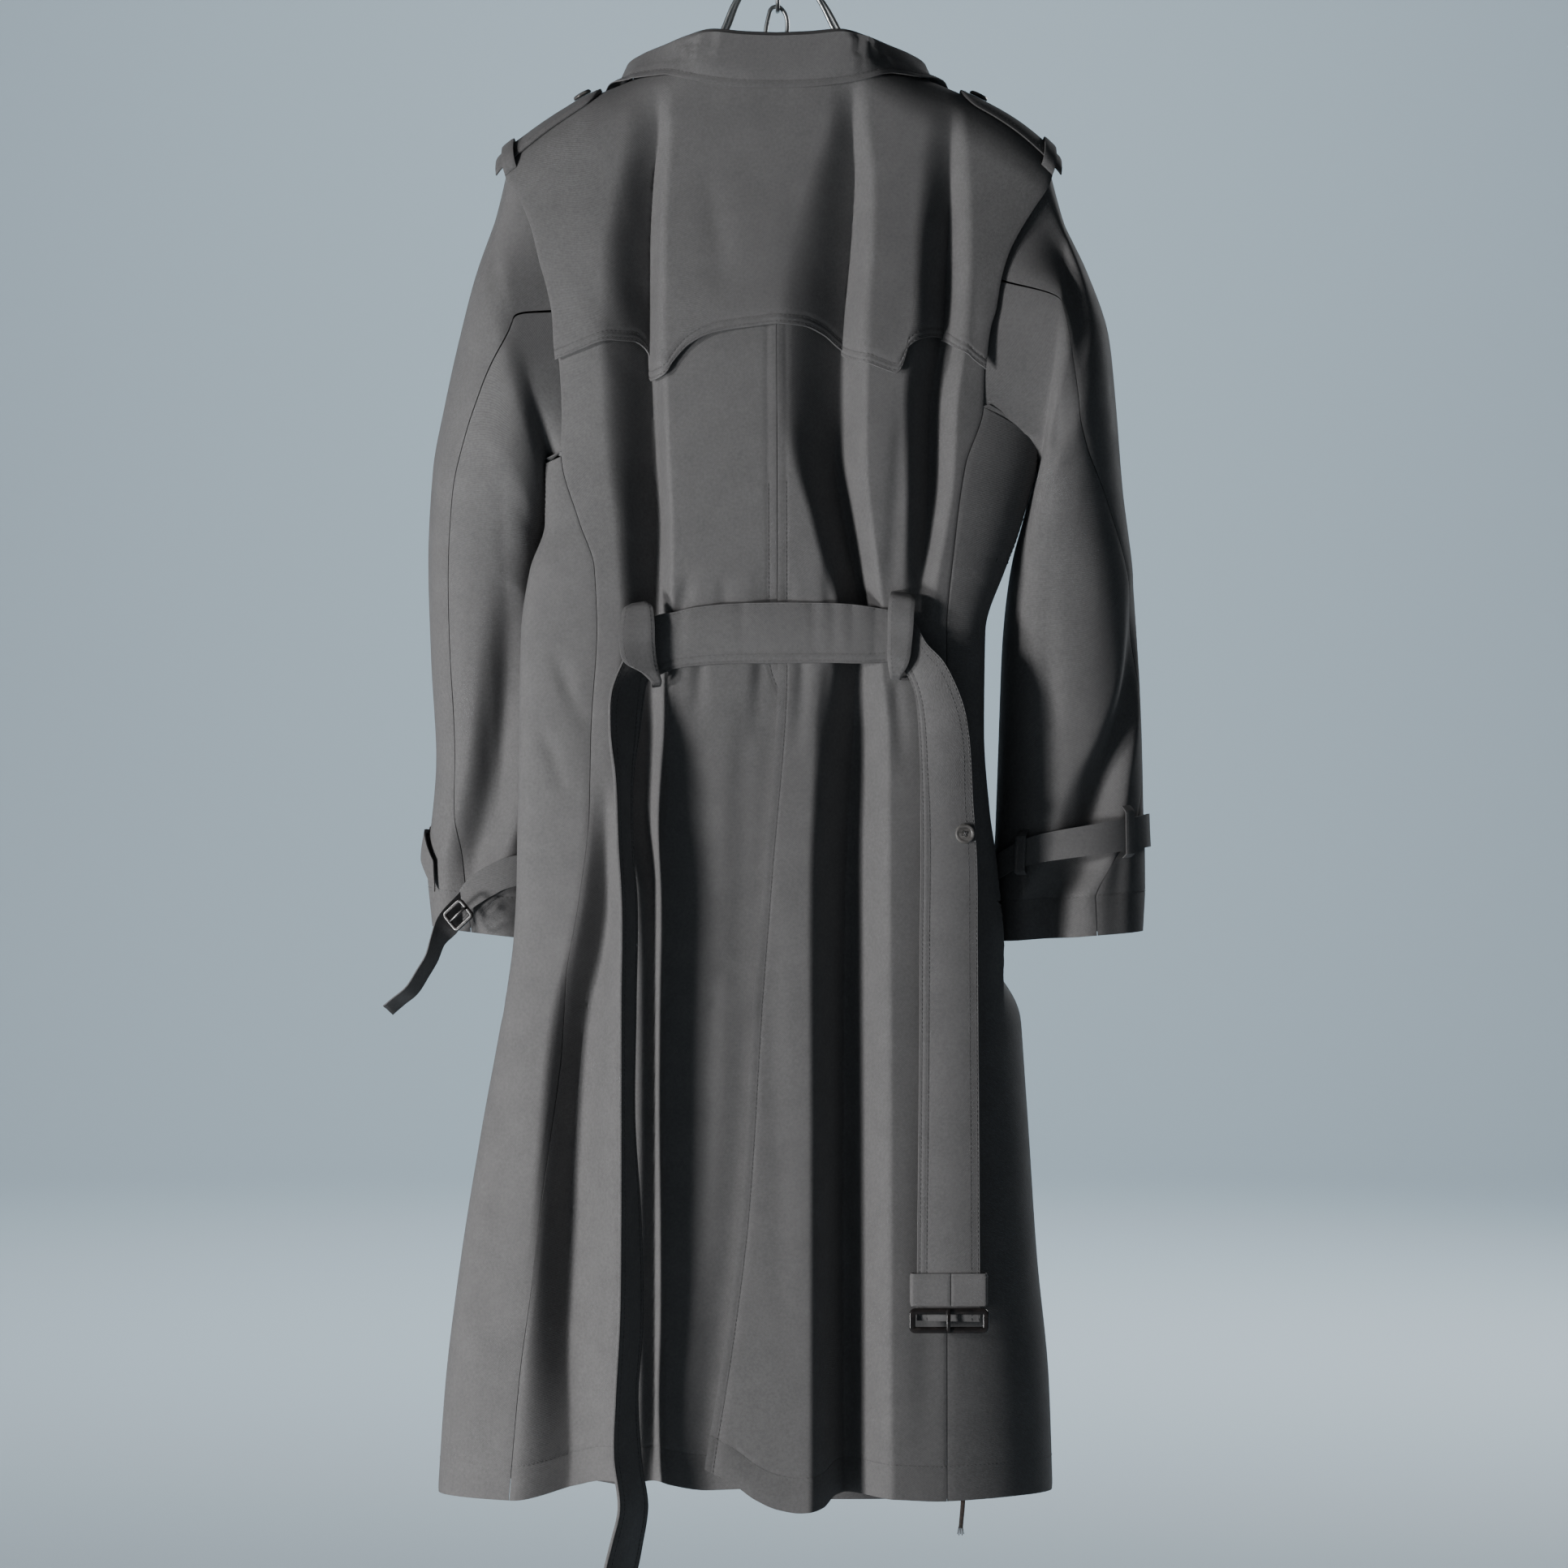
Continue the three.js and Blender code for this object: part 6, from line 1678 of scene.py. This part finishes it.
BACKWARD = np.array([0.0, -1.0, 0.0])
RIGHTWARD = np.array([1.0, 0.0, 0.0])
frame_piece("belt_buckle", 64, 20, 5, 4, np.array([137.6, -93.2, -1174.5]), RIGHTWARD, BACKWARD)
prong_piece("belt_buckle_prong", (137, -98.9, -1165), (137, -98.9, -1184), 3.4, 2.6, BACKWARD)
button_piece("belt_button", np.array([150.9, -86.3, -784]), BACKWARD, SMALL_BUTTON_RADIUS, 2.6)
for row, z in enumerate((-468.0, -578.0, -688.0)):
    for side, x in (("left", -62.0), ("right", 62.0)):
        spot = on_front(np.array(x), np.array(z), LIE_GAP + 2.3)
        button_piece(f"front_button_{side}_{row + 1}", spot, np.array([0.0, 1.0, 0.0]), BUTTON_RADIUS, 3)

# Epaulettes lie on the shoulders over the yoke, under a small loop by the sleeve.
EPAULETTES = {
    "left": [
        [-143, -0.26, -0.02], [-148, -0.48, 0.14], [-156, -0.6, 0.24], [-172, -0.63, 0.26],
        [-188, -0.66, 0.28], [-204, -0.69, 0.31], [-218, -0.71, 0.34], [-227, -0.73, 0.36],
    ],
    "right": [
        [148, -0.26, -0.02], [153, -0.48, 0.14], [161, -0.6, 0.24], [176, -0.63, 0.26],
        [192, -0.66, 0.28], [208, -0.69, 0.31], [220, -0.71, 0.34], [229, -0.73, 0.36],
    ],
}
EPAULETTE_LIFT = LAP_DROP + LIE_GAP + STRAP + 1.4
EPAULETTE_LOOP_X = {"left": -216, "right": 218}
EPAULETTE_BUTTON_X = {"left": -157, "right": 162}
LOOP_REACH = [-0.86, -0.79, -0.62, -0.3, 0, 0.3, 0.46, 0.54]
LOOP_LIFTS = [4, 8, 10, 9.8, 9.8, 9.6, 7.6, 2.8]


def by_order(rows, count):
    """Rows read as a smooth curve by their order, at count places."""
    rows = np.array(rows, float)
    names = [str(k) for k in range(rows.shape[1] + 1)]
    curve = Curve(names, np.column_stack([np.arange(len(rows)), rows]))
    values = curve(np.linspace(0, len(rows) - 1, count))
    return [values[name] for name in names[1:]]


for side in SIDES:
    x, low, high = by_order(EPAULETTES[side], 50)
    t = np.linspace(0, 1, 25)[None, :]
    grid = shoulder_point(x[:, None] + 0 * t, mix(low[:, None], high[:, None], t), EPAULETTE_LIFT)
    flip = side == "right"
    lift = round_edges(grid, 0.6)
    piece = cloth_wall("epaulette_" + side, grid, TWILL, thick=STRAP, flip=flip, lift=lift)
    declare_sheet(piece, grid)
    runs = [inset_run(grid, EPAULETTE_STITCH, edge, flip, lift, 0.06, 1) for edge in ("top", "bottom")]
    runs.append(inset_run(grid, EPAULETTE_STITCH, "first", flip, lift, 0.15, 0.85))
    stitch_mesh("epaulette_stitches_" + side, runs, THREAD, piece)
    reach, lifts = by_order(np.column_stack([LOOP_REACH, LOOP_LIFTS]), 40)
    across = np.linspace(-4.5, 4.5, 7)[:, None] + EPAULETTE_LOOP_X[side]
    grid = shoulder_point(across + 0 * reach[None, :], reach[None, :] + 0 * across, 0.0)
    raised = shoulder_point(across + 0 * reach[None, :], reach[None, :] + 0 * across, 1.0) - grid
    grid = grid + raised * lifts[None, :, None]
    cloth_wall("epaulette_loop_" + side, grid, TWILL, flip=True)
    foot = shoulder_point(EPAULETTE_BUTTON_X[side], -0.03, EPAULETTE_LIFT)
    out = shoulder_point(EPAULETTE_BUTTON_X[side], -0.03, EPAULETTE_LIFT + 1) - foot
    button_piece("epaulette_button_" + side, foot + out * (LIE_GAP + 1.5), out, SMALL_BUTTON_RADIUS, 2.6)

# Cuff straps go round a sleeve. Each row has an angle, the middle's step along the sleeve and a lift.
CUFF_HALF = 0.4
CUFF_LIFT = LIE_GAP + 2.6
# The left strap's free end hangs from its buckle, turned nearly edge on.
CUFF_TAIL_LEFT = [
    [-322, -46, -924, -316, -30, -932], [-315, -47, -918, -307, -28, -924],
    [-304, -47, -909, -296, -28, -915], [-295, -46, -895, -287, -27, -901],
    [-288, -45, -883, -280, -26, -889], [-284, -43, -869, -274, -26, -875],
    [-279, -38, -854, -264, -26, -866],
]
CUFF_ROWS = {
    "left": [
        [-66, 11.1, 0], [-74, 10.8, 0], [-85, 10.5, 0], [-100, 10.15, 0], [-115, 10, 0],
        [-132, 9.92, 0], [-150, 9.87, 0], [-165, 9.85, 0], [-180, 9.82, 0], [-200, 9.75, 0],
        [-225, 9.7, 0], [-250, 9.7, 0], [-275, 9.7, 0], [-300, 9.68, 0], [-325, 9.65, 0],
        [-345, 9.6, 0], [-360, 9.6, 0], [-375, 9.75, 0], [-388, 10.05, 0], [-399, 10.4, 0],
    ],
    "right": [
        [84, 9.3, 0], [62, 9.3, 0], [40, 9.3, 0], [20, 9.28, 0], [0, 9.26, 0], [-20, 9.26, 0],
        [-42, 9.28, 0], [-65, 9.3, 0], [-90, 9.33, 0], [-112, 9.38, 0], [-130, 9.5, 0],
        [-146, 9.7, 0], [-162, 9.85, 0], [-178, 9.85, 0], [-196, 9.7, 0], [-216, 9.5, 0],
        [-238, 9.4, 0], [-256, 9.33, 1], [-268, 9.3, 3.6], [-282, 9.3, 3.8], [-300, 9.3, 3.8],
        [-314, 9.3, 3.8],
    ],
}
CUFF_LOOPS = {"left": [[-118, 9.97], [25, 9.65]], "right": [[-128, 9.48], [-47, 9.28]]}
CUFF_LOOP_REACH = [-0.62, -0.56, -0.49, -0.2, 0.2, 0.49, 0.56, 0.62]
CUFF_LOOP_LIFTS = [1.55, 5, 7.2, 7.2, 7.2, 7.2, 5, 1.55]
CUFF_BUCKLES = {
    "left": {"out": (-0.3, -0.95, 0), "along": (0.77, 0, 0.64), "height": 20},
    "right": {"out": (0, 1, 0), "along": (1, 0, 0), "height": 31},
}


def cuff_point(side, step, angle, lift):
    return sleeve_point(side, step, np.radians(angle), lift, False)


for side in SIDES:
    angle, step, over = by_order(CUFF_ROWS[side], 220)
    t = np.linspace(-1, 1, 11)[None, :]
    grid = cuff_point(side, step[:, None] + CUFF_HALF * t, angle[:, None] + 0 * t, CUFF_LIFT + over[:, None])
    if side == "left":
        tail = [*CUFF_TAIL_LEFT, np.concatenate([grid[0, 0], grid[0, -1]]).tolist()]
        tail = strap_grid(tail, 60, 10)
        grid = np.concatenate([tail[:-1], grid])
    flip = side == "left"
    lift = round_edges(grid, 0.5)
    piece = cloth_wall("cuff_strap_" + side, grid, TWILL, thick=2, flip=flip, lift=lift)
    declare_sheet(piece, grid)
    runs = [inset_run(grid, CUFF_STRAP_STITCH, edge, flip, lift) for edge in ("top", "bottom")]
    stitch_mesh("cuff_strap_stitches_" + side, runs, THREAD, piece)
    reach, lifts = by_order(np.column_stack([CUFF_LOOP_REACH, CUFF_LOOP_LIFTS]), 36)
    for k, (middle_angle, middle) in enumerate(CUFF_LOOPS[side]):
        across = np.linspace(-4.6, 4.6, 7)[:, None]
        steps = middle + reach[None, :] + 0 * across
        grid = cuff_point(side, steps, middle_angle + across + 0 * steps, lifts[None, :] + 0 * across)
        name = f"cuff_loop_{side}_{k + 1}"
        cloth_wall(name, grid, TWILL, thick=1.2, flip=side == "left")
    buckle = CUFF_BUCKLES[side]
    along, _, out = basis(buckle["along"], buckle["out"])
    middle = np.array([-260.0, -40.0, -851.0])
    if side == "right":
        middle = cuff_point(side, np.array(9.3), np.array(88.0), CUFF_LIFT + 7.6)
    frame_piece("cuff_buckle_" + side, 22, buckle["height"], 3.4, 3, middle, along, out)
    raised = middle + out * 4.6
    prong_piece("cuff_prong_" + side, raised - along * 9, raised + along * 10, 2.4, 2.2, out)

# A short tie hangs out of the hem on the right, its end frayed.
TIE_PAIRS = [
    [148, -67.8, -1296, 151.7, -67.8, -1296], [148.2, -67.8, -1322, 151.9, -67.8, -1322],
    [146.4, -67.8, -1346, 149.9, -67.8, -1346],
]
grid = strap_grid(TIE_PAIRS, 24, 4)
tie = cloth_wall("hem_tie", grid, TIE, thick=1)
for k in range(5):
    x = mix(146.6, 149.7, k / 4)
    spread = (k - 2) * 0.5
    path = [[x, -67.3, -1345], [x + spread * 0.4, -67.4, -1348], [x + spread, -67.2, -1351 - (k % 2)]]
    strand = tube_mesh(f"hem_tie_strand_{k + 1}", path, 0.35, TIE, 8, 6)
    strand.parent = tie

# The hanger: steel wire in a hook, a pair of strands under each shoulder, and a short chain.
hook_middle = HOOK_RADIUS + WIRE_RADIUS
hook = [[0, 0, -49.7], [0, 0, -46], [2, 0, -41.5]]
for turn in np.radians(np.arange(-50, 215.1, 24)):
    hook.append([hook_middle * math.cos(turn), 0, -HOOK_RADIUS + hook_middle * math.sin(turn)])
STRANDS = {
    "left": [
        [-3.4, -4.5, -63.4], [-12, -4.8, -74], [-31, -6, -96.5], [-40.5, -8, -120], [-60, -9, -152],
        [-99, -8, -181], [-141, -8, -201], [-189, -7, -218], [-206, -6, -229], [-212, 0, -232],
        [-208, 6, -229], [-192, 7, -218], [-143, 7, -201], [-101, 7, -181], [-64, 9, -152],
        [-45.7, 8, -120], [-35, 6, -96.5], [-14, 4.8, -74], [-4, 4.5, -63.4],
    ],
    "right": [
        [3.4, -4.5, -63.4], [13, -4.8, -74], [33, -6, -96.5], [45.5, -8, -121], [62, -9, -152],
        [99, -8, -181], [141, -8, -201], [189, -7, -215], [206, -6, -224], [212, 0, -229],
        [208, 6, -224], [192, 7, -215], [143, 7, -201], [101, 7, -181], [67, 9, -152],
        [51.5, 8, -121], [37, 6, -96.5], [15, 4.8, -74], [4, 4.5, -63.4],
    ],
}


def wire_piece(name, points, radius, count, closed=False, radii=None):
    piece = tube_mesh(name, points, radius, STEEL, count, 16, closed, radii)
    return finish_piece(piece, name)


def link_path(x, top, bottom, half, across):
    points = []
    for turn in np.radians(np.arange(0, 360, 30)):
        middle = top - half if math.sin(turn) > 0 else bottom + half
        side = half * math.cos(turn)
        z = middle + half * math.sin(turn)
        points.append([x + side, 0, z] if across == "x" else [x, side, z])
    return points


wire_piece("hanger_hook", hook, WIRE_RADIUS, 120)
FERRULE_PATH = [[0, 0, -50], [0, 0, -54], [0, 0, -58], [0, 0, -62]]
# The ferrule's radius by a share of its length
FERRULE_RADII = (
    [0, 0.05, 0.3, 0.36, 0.42, 0.6, 0.66, 0.72, 0.95, 1],
    [4.6, 5.6, 5.6, 5.0, 5.6, 5.6, 5.0, 5.6, 5.6, 4.6],
)
wire_piece("hanger_ferrule", FERRULE_PATH, 5.6, 40, radii=FERRULE_RADII)
for side in SIDES:
    wire_piece("hanger_wire_" + side, STRANDS[side], WIRE_RADIUS, 260)
wire_piece("hanger_eye", link_path(0, -63.8, -72.8, 4.4, "x"), 1.5, 60, True)
wire_piece("chain_link_1", link_path(0, -69.3, -106.2, 6, "y"), 1.75, 72, True)
wire_piece("chain_link_2", link_path(-1, -102, -142, 6, "x"), 1.75, 72, True)

# Stitching of the panels
for side, edge, end in (("left", "last", 0.46), ("right", "first", 1.0)):
    runs = [
        inset_run(back_grids[side], HEM_STITCH, "bottom"),
        inset_run(back_grids[side], MIDDLE_STITCH, edge, start=0.3, end=end),
    ]
    stitch_mesh(f"back_{side}_stitches", runs, THREAD, panels["back_" + side])
runs = [inset_run(yoke_points, distance, "bottom", lift=yoke_lift) for distance in YOKE_STITCHES]
stitch_mesh("back_yoke_stitches", runs, THREAD, yoke)
runs = [inset_run(fall_grid, COLLAR_STITCH, edge) for edge in ("bottom", "first", "last")]
stitch_mesh("collar_fall_stitches", runs, THREAD, fall)
for side in SIDES:
    flip = side == "right"
    runs = [
        inset_run(front_grids[side], HEM_STITCH, "bottom", flip),
        inset_run(front_grids[side], MIDDLE_STITCH, "first", flip),
    ]
    stitch_mesh(f"front_{side}_stitches", runs, THREAD, panels["front_" + side])
    for part in ("upper", "under"):
        name = f"sleeve_{side}_{part}"
        runs = [inset_run(sleeve_grids[name], CUFF_HEM_STITCH, "bottom", side == "left")]
        stitch_mesh(name + "_stitches", runs, THREAD, panels[name])

# Stage, light and camera
FLOOR_HEIGHT = -1620
FLOOR_REACH = 14000.0
SWEEP_START = 5500
SWEEP_RADIUS = 2500
SWEEP_TOP = 9000
floor_material, _, floor_shader = new_material("floor")
set_shader(floor_shader, (0.5, 0.57, 0.62), 0.95)
profile = [[-FLOOR_REACH, FLOOR_HEIGHT], [SWEEP_START - 400, FLOOR_HEIGHT]]
for turn in np.radians(np.linspace(0, 90, 25)):
    y = SWEEP_START + SWEEP_RADIUS * math.sin(turn)
    profile.append([y, FLOOR_HEIGHT + SWEEP_RADIUS * (1 - math.cos(turn))])
profile.append([SWEEP_START + SWEEP_RADIUS, SWEEP_TOP])
profile = np.array(profile)
sides_x = np.array([-FLOOR_REACH, FLOOR_REACH])[:, None]
grid = stack(sides_x, profile[None, :, 0], profile[None, :, 1]).reshape(-1, 3)
count = len(profile)
faces = [[k, k + count, k + count + 1, k + 1] for k in range(count - 1)]
floor = add_mesh("floor", grid, faces, floor_material)

world = bpy.data.worlds.new("pale_room")
world.use_nodes = True
world.node_tree.nodes["Background"].inputs["Color"].default_value = (0.8, 0.88, 0.95, 1)
world.node_tree.nodes["Background"].inputs["Strength"].default_value = 0.07
bpy.context.scene.world = world


def area_light(name, place, target, size, power_watts, colour=(1, 1, 1)):
    data = bpy.data.lights.new(name, "AREA")
    data.shape = "DISK"
    data.size = size
    data.energy = power_watts
    data.color = colour
    light = bpy.data.objects.new(name, data)
    bpy.context.scene.collection.objects.link(light)
    light.location = place
    way = Vector(target) - Vector(place)
    light.rotation_euler = way.to_track_quat("-Z", "Y").to_euler()


area_light("key", (-3.6, -2.6, -0.5), (0, 0, -0.7), 0.5, 122)
area_light("low_key", (-1.95, -1.65, -1.45), (0, 0, -1.1), 0.4, 58)
area_light("front_fill", (2.6, 3.0, 0.8), (0, 0, -0.7), 1.6, 60)
area_light("sweep", (0, 2.2, 2.6), (0, 7.6, -0.4), 3.0, 300, (0.84, 0.94, 1))

camera_data = bpy.data.cameras.new("camera")
camera_data.sensor_width = 36
camera_data.lens = CAMERA_LENS
camera = bpy.data.objects.new("camera", camera_data)
bpy.context.scene.collection.objects.link(camera)
camera.location = CAMERA_PLACE
camera.rotation_euler = (math.radians(90), 0, 0)
bpy.context.scene.camera = camera

for name, width, length, area in cut_list:
    print(f"cut {name}: {width:.3f} x {length:.3f} m, {area:.4f} m2")
